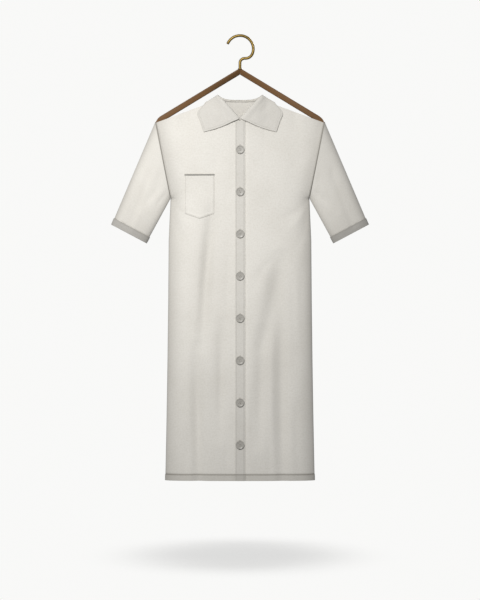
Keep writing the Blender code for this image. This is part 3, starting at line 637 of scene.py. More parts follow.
def panelGrid(base, reach, sign, back):
    # x and z of a panel's points: a column keeps its place, or its share of the way to the side
    hem = hemZ + np.array(panelSizes["hemRows"])
    lower = np.concatenate((hem, np.linspace(hemZ + 0.022, underarmZ, panelSizes["lowerRows"])))
    ceiling = np.full_like(base, underarmZ)
    for _ in range(14):
        ceiling = topZ(base * (1 - reach) + sign * reach * halfWidth(ceiling), back)
    t = np.linspace(0, 1, panelSizes["upperRows"])[1:]
    t = lerp(t, (1 - np.cos(math.pi * t)) / 2, 0.7)
    upper = underarmZ + t[:, None] * (ceiling - underarmZ)[None, :]
    z = np.concatenate((np.repeat(lower[:, None], len(base), axis=1), upper))
    return base * (1 - reach) + sign * reach * halfWidth(z), z


def hemShade(z, strength):
    # the sewn line, and the turned cloth below it
    line = soft(z - hemZ - panelSizes["hemLine"], panelSizes["hemLineWidth"]) * strength
    return line + (1 - smooth((z - hemZ - panelSizes["hemFold"]) / 0.0015)) * panelShades["hem"]


def panelShade(x, z, back):
    # seam and hem lines, and painted shade along the side edges and in the fold hollows, all darkening the
    # cloth
    dark = panelShades
    side = halfWidth(z) - np.abs(x)
    arm = np.where(z > underarmZ - 0.002, soft(side - 0.0003, 0.0022) * dark["armhole"], 0)
    # painted shade along the side edges, darker on the front's upper part
    frontEdge = lerp(dark["upperEdgePaintedShade"], dark["lowerEdgePaintedShade"], smooth((-0.80 - z) / 0.30))
    turned = soft(side, dark["edgeWidth"]) * (dark["backEdgePaintedShade"] if back else frontEdge)
    # painted shade in the hollows of the folds, fading out towards the hem
    paintedHollowShade = foldDepth(x, z, back, dark["hollowWider"]) / dark["hollowDepth"] * dark["paintedHollowShade"]
    return hemShade(z, dark["hemLine"]) + arm + turned + paintedHollowShade * smooth((z + 1.08) / 0.22)


def makePanel(name, columns, back, cut, drop=None):
    base, reach, sign = (np.array(part, float) for part in zip(*columns))
    x, z = panelGrid(base, reach, sign, back)
    points = onPanel(x, z, back)
    normals = facing(gridNormals(points), (0, 1 if back else -1, 0))
    lift = hemRaise(z)
    if not back:
        low, high = panelSizes["underlap"]
        lift = lift * smooth((np.abs(x) - low) / (high - low))
    side = halfWidth(z) - np.abs(x)
    felled = smooth((panelSizes["feltedSeam"] - side) / 0.0015) * smooth((z - underarmZ) / 0.01)
    lift = lift + felled * panelSizes["seamRaise"] * smooth(side / 0.001)
    points = points + normals * lift[..., None]
    if drop is not None:
        points[..., 1] += drop(x)
    uv = np.stack((x, z), axis=-1)
    return makeCloth(name, points, normals, uv, panelShade(x, z, back), shellWall, linen, "linen", cut)


def sideColumns(sign):
    return [(sign * panelSizes["inner"], share, sign) for share in sideShares()]


def flatColumns(low, high, count):
    return [(x, 0.0, 1.0) for x in np.linspace(low, high, count)]


panelCuts = {
    "front_right": {"flat": (0.254, 1.010), "area": 0.2115, "rests_on": ["hanger_arm_right"]},
    "front_left": {"flat": (0.254, 1.010), "area": 0.2115, "rests_on": ["hanger_arm_left"]},
    "back": {"flat": (0.480, 1.010), "area": 0.4000, "rests_on": ["hanger_arm_right", "hanger_arm_left"]},
}
edgeX, innerX = panelSizes["placket"], panelSizes["inner"]
rightColumns = sideColumns(-1)[::-1] + flatColumns(-innerX, edgeX, panelSizes["middleColumns"])[1:]
frontRight = makePanel("front_right", rightColumns, False, panelCuts["front_right"])
low, high = panelSizes["underlap"]
frontLeft = makePanel(
    "front_left",
    flatColumns(-edgeX, innerX, panelSizes["middleColumns"])[:-1] + sideColumns(1),
    False,
    panelCuts["front_left"],
    lambda x: panelSizes["underlapDrop"] * (1 - smooth((x - low) / (high - low))),
)
backMiddle = flatColumns(-innerX, innerX, panelSizes["backMiddleColumns"])[1:-1]
backPanel = makePanel("back", sideColumns(-1)[::-1] + backMiddle + sideColumns(1), True, panelCuts["back"])
print("panels made")

# placket, pocket and its binding, which lie on the fronts

placketSizes = {
    "halfWidth": 0.0132,
    "lift": 0.0011,
    "wall": 0.0010,
    "columns": 15,
    "rows": 420,
    "seamInset": 0.0035,
    "flat": (0.0264, 0.952),
}
pocketSizes = {
    "outer": -0.1458,
    "inner": -0.0681,
    "top": -0.3640,
    "corner": -0.4683,
    "point": -0.4820,
    "lift": 0.0011,
    "wall": 0.0009,
    "columns": 52,
    "rows": 70,
    "bindingHeight": 0.0042,
    "bindingOverhang": 0.0006,
    "bindingLift": 0.0025,
    "mouthEase": 0.0008,
    "seamInset": 0.0024,
    "footInset": 0.0026,
    "meanHeight": 0.112,
    "flat": (0.0777, 0.118),
    "area": 0.0086,
}


def frontSheet(name, x, z, lift, wall, shade, stuff, slotName, cut):
    points = onPanel(x, z, False)
    normals = facing(gridNormals(points), (0, -1, 0))
    points = points + normals * np.broadcast_to(lift, x.shape)[..., None]
    return makeCloth(name, points, normals, np.stack((x, z), axis=-1), shade, wall, stuff, slotName, cut)


def makePlacket():
    sizes = placketSizes
    across = np.linspace(-sizes["halfWidth"], sizes["halfWidth"], sizes["columns"])
    top = topZ(across, False)
    low = np.repeat(np.linspace(hemZ, hemZ + 0.019, 20)[:, None], len(across), axis=1)
    share = np.linspace(0, 1, sizes["rows"])[:, None]
    z = np.concatenate((low, lerp(hemZ + 0.020, top[None, :], share)))
    x = np.repeat(across[None, :], len(z), axis=0)
    lift = sizes["lift"] + hemRaise(z) + 0.00012 * np.sin(z * 190) * np.sin(z * 47 + x * 60)
    shade = soft(sizes["halfWidth"] - sizes["seamInset"] - np.abs(x), 0.0009) * 0.10 + hemShade(z, 0.8)
    cut = {"flat": sizes["flat"], "rests_on": ["front_right"]}
    return frontSheet("placket", x, z, lift, sizes["wall"], shade, facedLinen, "linen", cut)


def makePocket():
    sizes = pocketSizes
    across, down = np.linspace(0, 1, sizes["columns"]), np.linspace(0, 1, sizes["rows"])
    x = np.repeat(lerp(sizes["outer"], sizes["inner"], across)[None, :], sizes["rows"], axis=0)
    foot = lerp(sizes["point"], sizes["corner"], np.abs(2 * across - 1))
    z = lerp(sizes["top"], foot[None, :], down[:, None])
    fromEdge = np.minimum(np.minimum(x - sizes["outer"], sizes["inner"] - x), z - foot[None, :])
    ease = sizes["mouthEase"] * np.sin(math.pi * across)[None, :] * soft(sizes["top"] - z, 0.020)
    turned = 0.0004 * (1 - smooth((fromEdge - 0.006) / 0.002))  # the edge is folded under
    small = 0.0003 * np.sin(70 * x + 31 * z) * np.sin(43 * z + 2) * smooth(fromEdge / 0.01)
    shade = soft(fromEdge, 0.0008) * 0.12 + soft(fromEdge - sizes["seamInset"], 0.0009) * 0.12
    lift = sizes["lift"] + ease + turned - small
    cut = {"flat": sizes["flat"], "area": sizes["area"], "held": "laid", "rests_on": ["front_right"]}
    return frontSheet("pocket", x, z, lift, sizes["wall"], shade, linen, "linen", cut)


def makeBinding():
    sizes = pocketSizes
    across = np.linspace(0, 1, 60)
    low, high = sizes["outer"] - sizes["bindingOverhang"], sizes["inner"] + sizes["bindingOverhang"]
    height = np.linspace(-sizes["bindingHeight"], 0.0, 9)
    x = np.repeat(lerp(low, high, across)[None, :], len(height), axis=0)
    z = np.repeat(sizes["top"] + height[:, None], len(across), axis=1)
    ease = sizes["mouthEase"] * np.sin(math.pi * across)[None, :]
    round_ = 0.0005 * np.sin(math.pi * (height / -sizes["bindingHeight"]))[:, None]
    lift, shade = sizes["bindingLift"] + ease + round_, np.full_like(x, 0.30)
    frontSheet("pocket_binding", x, z, lift, 0.0012, shade, trimLinen, "trim", None)


placket = makePlacket()
pocket = makePocket()
makeBinding()
print("placket and pocket made")

# sleeves and cuffs

sleeveSizes = {
    "cuffTop": (0.3403, -0.4977),
    "cuffBottom": (0.2486, -0.5464),
    "cuffDepth": 0.0205,
    "band": 0.0185,
    "foldDepth": 0.0040,
    "around": 132,
    "along": 88,
    "cuffLift": 0.00155,
    "cuffWall": 0.0014,
    "flat": (0.430, 0.300),
    "area": 0.0553,
    "cuffFlat": (0.230, 0.0185),
}
sleeveShades = {
    "armhole": 0.55,
    "cuffLine": 0.3,
    # these entries set painted shade: along the upper and lower edges, all over the sleeve, and towards the
    # cuff
    "upperEdgePaintedShade": 0.24,
    "lowerEdgePaintedShade": 0.14,
    "allOverPaintedShade": 0.07,
    "paintedShadeTowardsCuff": 0.17,
}
SleeveCrease = namedtuple("SleeveCrease", "angle toAngle share toShare width depth")
sleeveCreases = (
    SleeveCrease(0.62, 0.50, 0.02, 0.62, 0.095, 0.0020),
    SleeveCrease(0.34, 0.44, 0.22, 0.96, 0.085, 0.0013),
    SleeveCrease(0.80, 0.64, 0.08, 0.50, 0.060, 0.0015),
    SleeveCrease(0.20, 0.25, 0.45, 1.00, 0.060, 0.0008),
    SleeveCrease(0.90, 0.82, 0.04, 0.36, 0.034, 0.0012),
    SleeveCrease(0.56, 0.60, 0.60, 1.00, 0.050, -0.0007),
)


def sleeveAngles():
    return np.linspace(0, math.tau, sleeveSizes["around"] + 1)[None, :]


def toCuffEdge():
    # how far the armhole lies from the cuff's edge, round the sleeve
    top, low = (Vector(sleeveSizes[name]) for name in ("cuffTop", "cuffBottom"))
    edge = (top - low).normalized()
    across = Vector((edge.y, -edge.x))
    far = across.dot(top - Vector(bodySizes["shoulder"]))
    near = across.dot(low - Vector(bodySizes["underarm"]))
    return lerp(near, far, (1 + np.cos(sleeveAngles())) / 2)


def sleeveRings(shares, side, phase):
    # ovals between the upper and lower edges; phase makes the two sleeves differ
    sizes = sleeveSizes
    share = shares if shares.ndim == 2 else shares[:, None]
    angle = sleeveAngles()
    top = [lerp(a, b, share) for a, b in zip(bodySizes["shoulder"], sizes["cuffTop"])]
    low = [lerp(a, b, share) for a, b in zip(bodySizes["underarm"], sizes["cuffBottom"])]
    middle = [(a + b) / 2 for a, b in zip(top, low)]
    arm = [(a - b) / 2 for a, b in zip(top, low)]
    line = math.hypot(shoulderX - underarmX, shoulderZ - underarmZ)
    gap = bodySizes["seam"] * soft(share, 0.01)
    depth = lerp(bodySizes["armholeDepth"], sizes["cuffDepth"], share)
    cosine, sine = np.cos(angle), np.sin(angle)
    crease = sizes["foldDepth"] * share * (1 - share / 2) * soft(cosine - 0.25, 0.22)
    turn = (1 - cosine) / 2  # 0 at the top edge, 1 at the lower edge
    way = np.where(sine < 0, 1.0, 0.85)  # a little less on the back
    for k, row in enumerate(sleeveCreases):
        shift = 0.05 * math.sin(2.3 * k + phase) + np.where(sine < 0, 0.0, 0.06 * math.cos(3.1 * k + phase))
        held = np.clip((share - row.share) / (row.toShare - row.share), 0, 1)
        place = lerp(row.angle, row.toAngle, held) + shift
        inside = smooth((share - row.share) / 0.12) * smooth((row.toShare + 0.12 - share) / 0.2)
        crease = crease + way * row.depth * inside * soft(turn - place, row.width)
    steady = smooth(share / 0.06) * (1 - smooth((share - 0.93) / 0.05))
    crease = crease * lerp(0.35, 1.0, steady) * smooth(share / 0.03)
    y = (depth - crease * smooth((1 - np.abs(cosine)) / 0.08)) * sine
    x = middle[0] + arm[0] * cosine + gap * (shoulderZ - underarmZ) / line
    z = middle[1] + arm[1] * cosine - gap * (shoulderX - underarmX) / line
    points = np.stack(np.broadcast_arrays(side * x, y, z), axis=-1)
    centre = np.stack(np.broadcast_arrays(side * middle[0], 0 * cosine, middle[1]), axis=-1)
    across = np.roll(points[:, :-1], -1, axis=1) - np.roll(points[:, :-1], 1, axis=1)
    along = np.gradient(points[:, :-1], axis=0)
    normals = np.cross(across, along)
    normals /= np.linalg.norm(normals, axis=2, keepdims=True)
    normals = facing(normals, (points - centre)[:, :-1])
    normals = np.concatenate((normals, normals[:, :1]), axis=1)
    around = runOver(points, 1)
    length = math.dist(bodySizes["shoulder"], sizes["cuffTop"])
    uv = np.stack((around, np.broadcast_to(share * length, around.shape)), axis=-1)
    return points, normals, uv


def makeSleeve(word, side, phase):
    sizes, dark = sleeveSizes, sleeveShades
    shares = np.concatenate(([0, 0.004, 0.01, 0.02], np.linspace(0.03, 1, sizes["along"])))
    points, normals, uv = sleeveRings(shares, side, phase)
    share = shares[:, None]
    start = share * math.dist(bodySizes["shoulder"], sizes["cuffTop"])
    band = sizes["band"] - (1 - share) * toCuffEdge()
    seams = soft(start - 0.0003, 0.0014) * dark["armhole"] + soft(band + 0.0010, 0.0010) * dark["cuffLine"]
    # painted shade along the upper and lower edges, all over, and more towards the cuff
    turn = (1 - np.cos(sleeveAngles())) / 2
    turned = soft(turn, 0.10) * dark["upperEdgePaintedShade"] + soft(1 - turn, 0.08) * dark["lowerEdgePaintedShade"]
    shade = seams + turned + dark["allOverPaintedShade"] + dark["paintedShadeTowardsCuff"] * smooth((share - 0.35) / 0.65)
    cut = {"flat": sizes["flat"], "area": sizes["area"], "rests_on": [f"hanger_arm_{word}"]}
    makeCloth(f"sleeve_{word}", points, normals, uv, shade, shellWall, linen, "linen", cut, closed=True)
    share = np.linspace(0, 1, 16)[:, None]
    band = sizes["band"] * share
    points, normals, uv = sleeveRings(1 - (sizes["band"] - band) / toCuffEdge(), side, phase)
    points = points + normals * (sizes["cuffLift"] + 0.0002 * np.sin(math.pi * share)[..., None])
    shade = soft(band, 0.0008) * 0.30 + soft(band - 0.0022, 0.0008) * 0.20 + 0 * uv[..., 0]
    cut = {"flat": sizes["cuffFlat"], "held": "folded", "rests_on": [f"sleeve_{word}"]}
    wall = sizes["cuffWall"]
    return makeCloth(f"cuff_{word}", points, normals, uv, shade, wall, trimLinen, "trim", cut, closed=True)


cuffSheets = {"right": makeSleeve("right", -1, 0.4), "left": makeSleeve("left", 1, 2.2)}
print("sleeves and cuffs made")

# collar

CollarSection = namedtuple("CollarSection", "neckX edgeX edgeZ")
collarFront = (
    CollarSection(0.0033, 0.0962, -0.2532),
    CollarSection(0.0132, 0.1010, -0.2385),
    CollarSection(0.0222, 0.1058, -0.2240),
    CollarSection(0.0385, 0.1128, -0.2025),
    CollarSection(0.0496, 0.1072, -0.1925),
    CollarSection(0.0582, 0.0995, -0.1838),
)
collarSide = CollarSection(neckX, 0.0895, -0.1742)
collarBack = (
    CollarSection(0.0582, 0.0872, -0.1820),
    CollarSection(0.0496, 0.0770, -0.1925),
    CollarSection(0.0385, 0.0600, -0.2005),
    CollarSection(0.0222, 0.0330, -0.2065),
    CollarSection(0.0, 0.0, -0.2085),
)
collarSizes = {
    "rollX": 0.0570,
    "rollFrontZ": -0.2205,
    "rollSideZ": -0.1565,
    "rollBackZ": -0.1685,
    "rollDepth": 0.92,
    "rollWidth": 0.0044,
    "rollHeight": 0.0016,
    "frontBow": 0.0045,
    "clearance": 0.0010,
    "standOff": 0.0030,
    "steps": 5,
    "aroundRows": 9,
    "standRows": (5, 6, 5, 5),
    "fallRows": 9,
    "wall": 0.0018,
    "stitchInset": 0.0050,
    "flat": (0.440, 0.105),
    "area": 0.0292,
}


def collarSection(section, way, bow):
    # points from the neck seam up the stand, over the roll and down the fall; way is -1 in front and 1 behind
    sizes = collarSizes
    back = way > 0
    cosine = section.neckX / neckX
    sine = way * math.sqrt(1 - cosine * cosine)
    seamZ = float(topZ(section.neckX, back))
    middle = halfSeam + float(topDepth(section.neckX, back)) - shellWall / 2 if way else 0.0
    base = np.array((section.neckX, way * middle, seamZ + 0.0004))
    low = sizes["rollBackZ"] if back else sizes["rollFrontZ"]
    neck = neckSizes["backDepth"] if back else neckSizes["frontDepth"]
    rollZ = lerp(low, sizes["rollSideZ"], cosine**4 if back else cosine)
    roll = np.array((sizes["rollX"] * cosine, neck * sizes["rollDepth"] * sine, rollZ))
    out = np.array((cosine, sine * 1.6, 0))
    out *= sizes["rollWidth"] / np.linalg.norm(out)
    start = roll + out
    crest = roll + out / 2 + np.array((0, 0, sizes["rollHeight"]))
    points = [base, lerp(base, roll, 0.55), roll, crest, start]
    for k in range(1, sizes["steps"] + 1):
        share = k / sizes["steps"]
        x = lerp(start[0], section.edgeX, share)
        z = lerp(start[2], section.edgeZ, share) - bow * math.sin(math.pi * share)
        over = 0.0 if back else 0.0016 * (1 - float(smooth((x - 0.0152) / 0.010)))
        rest = halfSeam + float(bodyDepth(np.array(x), np.array(z), back)) + sizes["clearance"] + over
        y = max(rest + sizes["standOff"] * (1 - share), abs(start[1]) * (1 - share) ** 2)
        points.append(np.array((x, way * y, z)))
    return points


def throughPoints(points, counts):
    # a smooth line through the points of every column, with counts[k] steps in stretch k
    steps = np.maximum(np.linalg.norm(np.diff(points, axis=0), axis=-1, keepdims=True), 1e-9)
    rates = np.diff(points, axis=0) / steps
    inner = (rates[:-1] * steps[1:] + rates[1:] * steps[:-1]) / (steps[:-1] + steps[1:])
    slopes = np.concatenate((rates[:1], inner, rates[-1:]))
    lines = []
    for k, count in enumerate(counts):
        t = np.linspace(0, 1, count, endpoint=False).reshape(-1, *[1] * (points.ndim - 1))
        h = steps[k]
        lines.append(
            (2 * t**3 - 3 * t**2 + 1) * points[k]
            + (t**3 - 2 * t**2 + t) * h * slopes[k]
            + (3 * t**2 - 2 * t**3) * points[k + 1]
            + (t**3 - t**2) * h * slopes[k + 1]
        )
    return np.concatenate((*lines, points[-1:]))


def makeCollar():
    sizes = collarSizes
    front = [collarSection(s, -1, sizes["frontBow"] * max(0, 1 - k / 3)) for k, s in enumerate(collarFront)]
    behind = [collarSection(section, 1, 0.0) for section in collarBack]
    half = np.array([*front, collarSection(collarSide, 0, 0.0), *behind])
    rows = np.concatenate((half[:-1] * np.array((-1, 1, 1)), half[::-1]))
    rows = throughPoints(rows, [sizes["aroundRows"]] * (len(rows) - 1))
    counts = [*sizes["standRows"], *[sizes["fallRows"]] * sizes["steps"]]
    grid = throughPoints(rows.transpose(1, 0, 2), counts).transpose(1, 0, 2)
    # the side that shows: into the neck on the stand, up on the roll, out on the fall
    share = np.linspace(0, 1, grid.shape[1])[None, :, None]
    flatOut = grid * np.array((1, 3, 0))
    onStand = share < sum(sizes["standRows"][:2]) / sum(counts)
    outward = np.where(onStand, -flatOut + (0, 0, 0.03), flatOut + (0, 0, 0.04))
    normals = facing(gridNormals(grid), outward)
    points = grid + normals * sizes["wall"]
    down, along = runOver(points, 1), runOver(points, 0)
    toEdge = down[:, -1:] - down
    fromEnds = np.minimum(along, along[-1:] - along)
    fall = down > 0.022
    inset = np.minimum(toEdge, np.where(fall, fromEnds, 1.0))
    shade = soft(inset, 0.0009) * 0.30 + soft(inset - sizes["stitchInset"], 0.0010) * 0.12
    uv = np.stack((np.mean(along, axis=1, keepdims=True) + 0 * along, down), axis=-1)
    cut = {"flat": sizes["flat"], "area": sizes["area"], "held": "folded"}
    cut["rests_on"] = ["front_right", "front_left", "back"]
    wall = sizes["wall"] - 0.0001
    return makeCloth("collar", points, normals, uv, shade, wall, facedLinen, "linen", cut, edge=0.0005)


collar = makeCollar()
print("collar made")

# stitches: short rounded lengths of thread, pulled into the cloth at their ends

stitchSizes = {
    "pitch": 0.0031,
    "length": 0.0025,
    "radius": 0.00026,
    "sink": 0.00008,
    "hemHeight": 0.0146,
    "armholeInset": 0.0058,
}


def stitchForm():
    # one stitch along X, its top towards Z
    deselect()
    bpy.ops.mesh.primitive_uv_sphere_add(segments=6, ring_count=5, radius=1.0, rotation=(0, math.pi / 2, 0))
    ball = bpy.context.object
    bpy.ops.object.transform_apply(location=False, rotation=True, scale=False)
    places = np.array([v.co[:] for v in ball.data.vertices])
    faces = [tuple(p.vertices) for p in ball.data.polygons]
    mesh = ball.data
    bpy.data.objects.remove(ball)
    bpy.data.meshes.remove(mesh)
    places[:, 0] = np.sign(places[:, 0]) * np.abs(places[:, 0]) ** 0.7 * stitchSizes["length"] / 2
    places[:, 1:] *= stitchSizes["radius"]
    places[:, 2] -= stitchSizes["sink"] * (places[:, 0] / (stitchSizes["length"] / 2)) ** 4
    return places, faces


stitchPlaces, stitchFaces = stitchForm()
stitching = {}


def sewLines(name, lines):
    # lines holds a row of points and a row of normals for each seam; name is the sewn piece's
    vertices, faces = [], []
    for points, normals in lines:
        run = runOver(points)
        count = max(1, int(run[-1] / stitchSizes["pitch"]))
        middles = (np.arange(count) + 0.5) * run[-1] / count
        half = stitchSizes["length"] / 2

        def at(values, places):
            return np.stack([np.interp(places, run, values[:, k]) for k in range(3)], axis=-1)

        centre, up = at(points, middles), at(normals, middles)
        ahead = at(points, middles + half) - at(points, middles - half)
        ahead /= np.linalg.norm(ahead, axis=1, keepdims=True)
        side = np.cross(up, ahead)
        side /= np.linalg.norm(side, axis=1, keepdims=True)
        up = np.cross(ahead, side)
        local = stitchPlaces[None]
        placed = centre[:, None] + local[..., :1] * ahead[:, None]
        placed = placed + local[..., 1:2] * side[:, None] + local[..., 2:] * up[:, None]
        start = sum(len(part) for part in vertices)
        vertices.append(placed.reshape(-1, 3))
        size = len(stitchPlaces)
        faces += [tuple(start + k * size + v for v in face) for k in range(count) for face in stitchFaces]
    mesh = bpy.data.meshes.new(f"{name}_stitching")
    mesh.from_pydata(np.concatenate(vertices).tolist(), [], faces)
    mesh.update()
    piece = newObject(mesh.name, mesh)
    editAll(piece, (bpy.ops.mesh.normals_make_consistent, {"inside": False}))
    shadeSmooth(piece)
    stitching[name] = finishPiece(piece, thread, "linen")


def seamLine(sheet, rows, columns):
    # a line over a sheet's grid, by row and column numbers that may lie between points
    rows, columns = np.broadcast_arrays(np.asarray(rows, float), np.asarray(columns, float))
    r, c = np.floor(rows).astype(int), np.floor(columns).astype(int)
    r, c = np.clip(r, 0, sheet.points.shape[0] - 2), np.clip(c, 0, sheet.points.shape[1] - 2)
    fr, fc = (rows - r)[:, None], (columns - c)[:, None]

    def mixed(values):
        upper = lerp(values[r, c], values[r, c + 1], fc)
        lower = lerp(values[r + 1, c], values[r + 1, c + 1], fc)
        return lerp(upper, lower, fr)

    return mixed(sheet.points), mixed(sheet.normals)


def placeAt(line, distance, fromEnd):
    # the number, between points too, at a distance from one end of a line of points
    run = runOver(line[::-1] if fromEnd else line)
    place = np.interp(distance, run, np.arange(len(run)))
    return len(run) - 1 - place if fromEnd else place


def sewPanel(name, sheet, *sideEnds):
    # the hem's line, and a line round the armhole at each side end: False is the first column's
    heights = sheet.points[:, sheet.points.shape[1] // 2, 2]
    count = sheet.points.shape[1]
    start, finish = 1.0, count - 2.0
    if len(sideEnds) == 1:  # a front's line stops beside the placket
        middle = [c for c in range(count) if abs(sheet.points[0, c, 0]) < panelSizes["placket"] + 0.001]
        start, finish = (middle[-1] + 1.0, finish) if sideEnds[0] else (start, middle[0] - 1.0)
    hemRow = np.interp(hemZ + stitchSizes["hemHeight"], heights, np.arange(len(heights)))
    lines = [seamLine(sheet, hemRow, np.linspace(start, finish, 400))]
    side = sheet.points[:, -1 if sideEnds[0] else 0, 2]
    rows = np.arange(np.argmax(side > underarmZ + 0.004), len(side) - 1)
    for fromEnd in sideEnds:
        columns = [placeAt(sheet.points[r], stitchSizes["armholeInset"], fromEnd) for r in rows]
        lines.append(seamLine(sheet, rows, columns))
    sewLines(name, lines)


sewPanel("front_right", frontRight, False)
sewPanel("front_left", frontLeft, True)
sewPanel("back", backPanel, False, True)


def sewPlacket():
    rows = np.linspace(2, placket.points.shape[0] - 3, 900)
    columns = placket.points.shape[1] - 1
    inset = columns * placketSizes["seamInset"] / (2 * placketSizes["halfWidth"])
    lines = [seamLine(placket, rows, np.full_like(rows, c)) for c in (inset, columns - inset)]
    sewLines("placket", lines)


def sewPocket():
    rows, columns = pocket.points.shape[0] - 1, pocket.points.shape[1] - 1
    side = columns * pocketSizes["seamInset"] / (pocketSizes["inner"] - pocketSizes["outer"])
    foot = rows * (1 - pocketSizes["footInset"] / pocketSizes["meanHeight"])
    down = np.linspace(1.0, foot, 120)
    across = np.linspace(side, columns - side, 160)
    lines = [
        seamLine(pocket, down, np.full_like(down, side)),
        seamLine(pocket, np.full_like(across, foot), across),
        seamLine(pocket, down, np.full_like(down, columns - side)),
    ]
    sewLines("pocket", lines)


def sewCollar():
    inset, points = collarSizes["stitchInset"], collar.points
    edge = [placeAt(row, inset, True) for row in points]
    run = runOver(points[:, -8])
    keep = [r for r in range(len(points)) if 0.006 < run[r] < run[-1] - 0.006]
    lines = [seamLine(collar, np.array(keep), np.array([edge[r] for r in keep]))]
    columns = np.arange(int(points.shape[1] * 0.46), int(edge[len(edge) // 4]))
    for fromEnd in (False, True):
        places = [placeAt(points[:, c], inset, fromEnd) for c in columns]
        lines.append(seamLine(collar, np.array(places), columns))
    sewLines("collar", lines)


def sewCuffs():
    for word, sheet in cuffSheets.items():
        columns = np.linspace(0, sheet.points.shape[1] - 1, 500)
        sewLines(f"cuff_{word}", [seamLine(sheet, np.full_like(columns, 2.2), columns)])


sewPlacket()
sewPocket()
sewCollar()
sewCuffs()
for name, (piece, cut) in cloths.items():
    if cut:
        on = [stitching[name]] if name in stitching else []
        if name == "pocket":
            on.append(cloths["pocket_binding"][0])
print("stitching made")

# buttons, their thread and the buttonholes

buttonSizes = {
    "count": 8,
    "topZ": -0.2995,
    "pitch": 0.1113,
    "radius": 0.01125,
    "thickness": 0.0030,
    "rim": 0.0022,
    "dish": 0.0009,
    "holeRadius": 0.00095,
    "holeSpacing": 0.0040,
    "round": 0.0007,
    "back": 0.0020,
    "threadRadius": 0.00042,
    "holeLength": 0.0235,
    "holeWidth": 0.0030,
    "holeStitches": 44,
    "barStitches": 6,
    "holeThread": 0.00016,
    "spins": (7, -12, 4, 15, -6, 9, -14, 3),
}


def selectFaces(piece, test):
    pickUp(piece)
    for polygon in piece.data.polygons:
        polygon.select = bool(test(polygon))
    for edge in piece.data.edges:
        edge.select = False
    for vertex in piece.data.vertices:
        vertex.select = False
    for polygon in piece.data.polygons:
        if polygon.select:
            for v in polygon.vertices:
                piece.data.vertices[v].select = True
    bpy.ops.object.mode_set(mode="EDIT")
    bpy.ops.mesh.select_mode(type="FACE")


def buttonForm():
    # a turned disc with a rim, a dished middle and four holes, facing Z
    sizes = buttonSizes
    deselect()
    bpy.ops.mesh.primitive_cylinder_add(
        vertices=64, radius=sizes["radius"], depth=sizes["thickness"], location=(0, 0, sizes["thickness"] / 2)
    )
    button = bpy.context.object
    button.name = "button_form"
    pickUp(button)
    bpy.ops.object.transform_apply(location=True, rotation=False, scale=False)
    selectFaces(button, lambda p: p.normal.z > 0.9)
    bpy.ops.mesh.inset(thickness=sizes["rim"], depth=0)
    bpy.ops.mesh.inset(thickness=0.0010, depth=-sizes["dish"])
    bpy.ops.mesh.inset(thickness=0.0035, depth=-0.0001)
    bpy.ops.object.mode_set(mode="OBJECT")
    bevelEdges(button, sizes["round"], 4, 32)
    for x in (-1, 1):
        for y in (-1, 1):
            deselect()
            bpy.ops.mesh.primitive_cylinder_add(
                vertices=20,
                radius=sizes["holeRadius"],
                depth=0.02,
                location=(x * sizes["holeSpacing"] / 2, y * sizes["holeSpacing"] / 2, 0),
            )
            drill = bpy.context.object
            applyModifier(button, "BOOLEAN", operation="DIFFERENCE", object=drill)
            bpy.data.objects.remove(drill)
    shadeSmooth(button, 35)
    return button


def curveTube(name, paths, radius, sides=8):
    # round cord through each path's points
    curve = bpy.data.curves.new(name, "CURVE")
    curve.dimensions = "3D"
    curve.bevel_depth, curve.bevel_resolution, curve.use_fill_caps = radius, max(0, sides // 2 - 2), True
    for path in paths:
        line = curve.splines.new("POLY")
        line.points.add(len(path) - 1)
        for point, place in zip(line.points, path):
            point.co = (*place, 1)
    piece = newObject(name, curve)
    pickUp(piece)
    bpy.ops.object.convert(target="MESH")
    turnOutwards(piece)
    shadeSmooth(piece, 50)
    return piece


def threadForm():
    # two loops through the four holes, and the shank behind
    sizes = buttonSizes
    half, floor_ = sizes["holeSpacing"] / 2, sizes["thickness"] - sizes["dish"]
    paths = []
    for y in (-half, half):
        for spread in (-0.00042, 0.00042):
            arch = []
            for k in range(15):
                t = k / 14
                x = lerp(-half, half, t) * 1.02
                rise = min(1.0, math.sin(math.pi * t) * 2.4)
                arch.append((x, y + spread * 0.75, lerp(-0.0004, floor_ + 0.00042, rise)))
            paths.append(arch)
    form = curveTube("button_thread_form", paths, sizes["threadRadius"])
    shank = curveTube("button_shank_form", [[(0, 0, -0.0012), (0, 0, 0.0006)]], 0.0016, 14)
    return form, shank


def buttonholeForm():
    # a slit with close stitches down both sides and a bar at each end, standing on the XY plane
    sizes = buttonSizes
    length, width = sizes["holeLength"], sizes["holeWidth"]
    paths = []
    for side in (-1, 1):
        for k in range(sizes["holeStitches"]):
            y = lerp(-length / 2, length / 2, (k + 0.5) / sizes["holeStitches"])
            inner, top, outer = side * 0.00022, side * width / 4, side * width / 2
            paths.append([(inner, y, 0.00005), (top, y, 0.00030), (outer, y, 0.00002)])
    for end in (-1, 1):
        for k in range(sizes["barStitches"]):
            y = end * (length / 2 + 0.0002 + 0.0002 * k)
            paths.append([(-width / 2, y, 0.00004), (0, y, 0.00040), (width / 2, y, 0.00004)])
    return curveTube("buttonhole_form", paths, sizes["holeThread"], 6)


def placeCopy(form, name, matrix, colour, slotName, node=None):
    piece = newObject(name, form.data.copy())
    piece.data.name = name
    piece.data.transform(matrix)
    return finishPiece(piece, colour, slotName, *([node] if node else []))


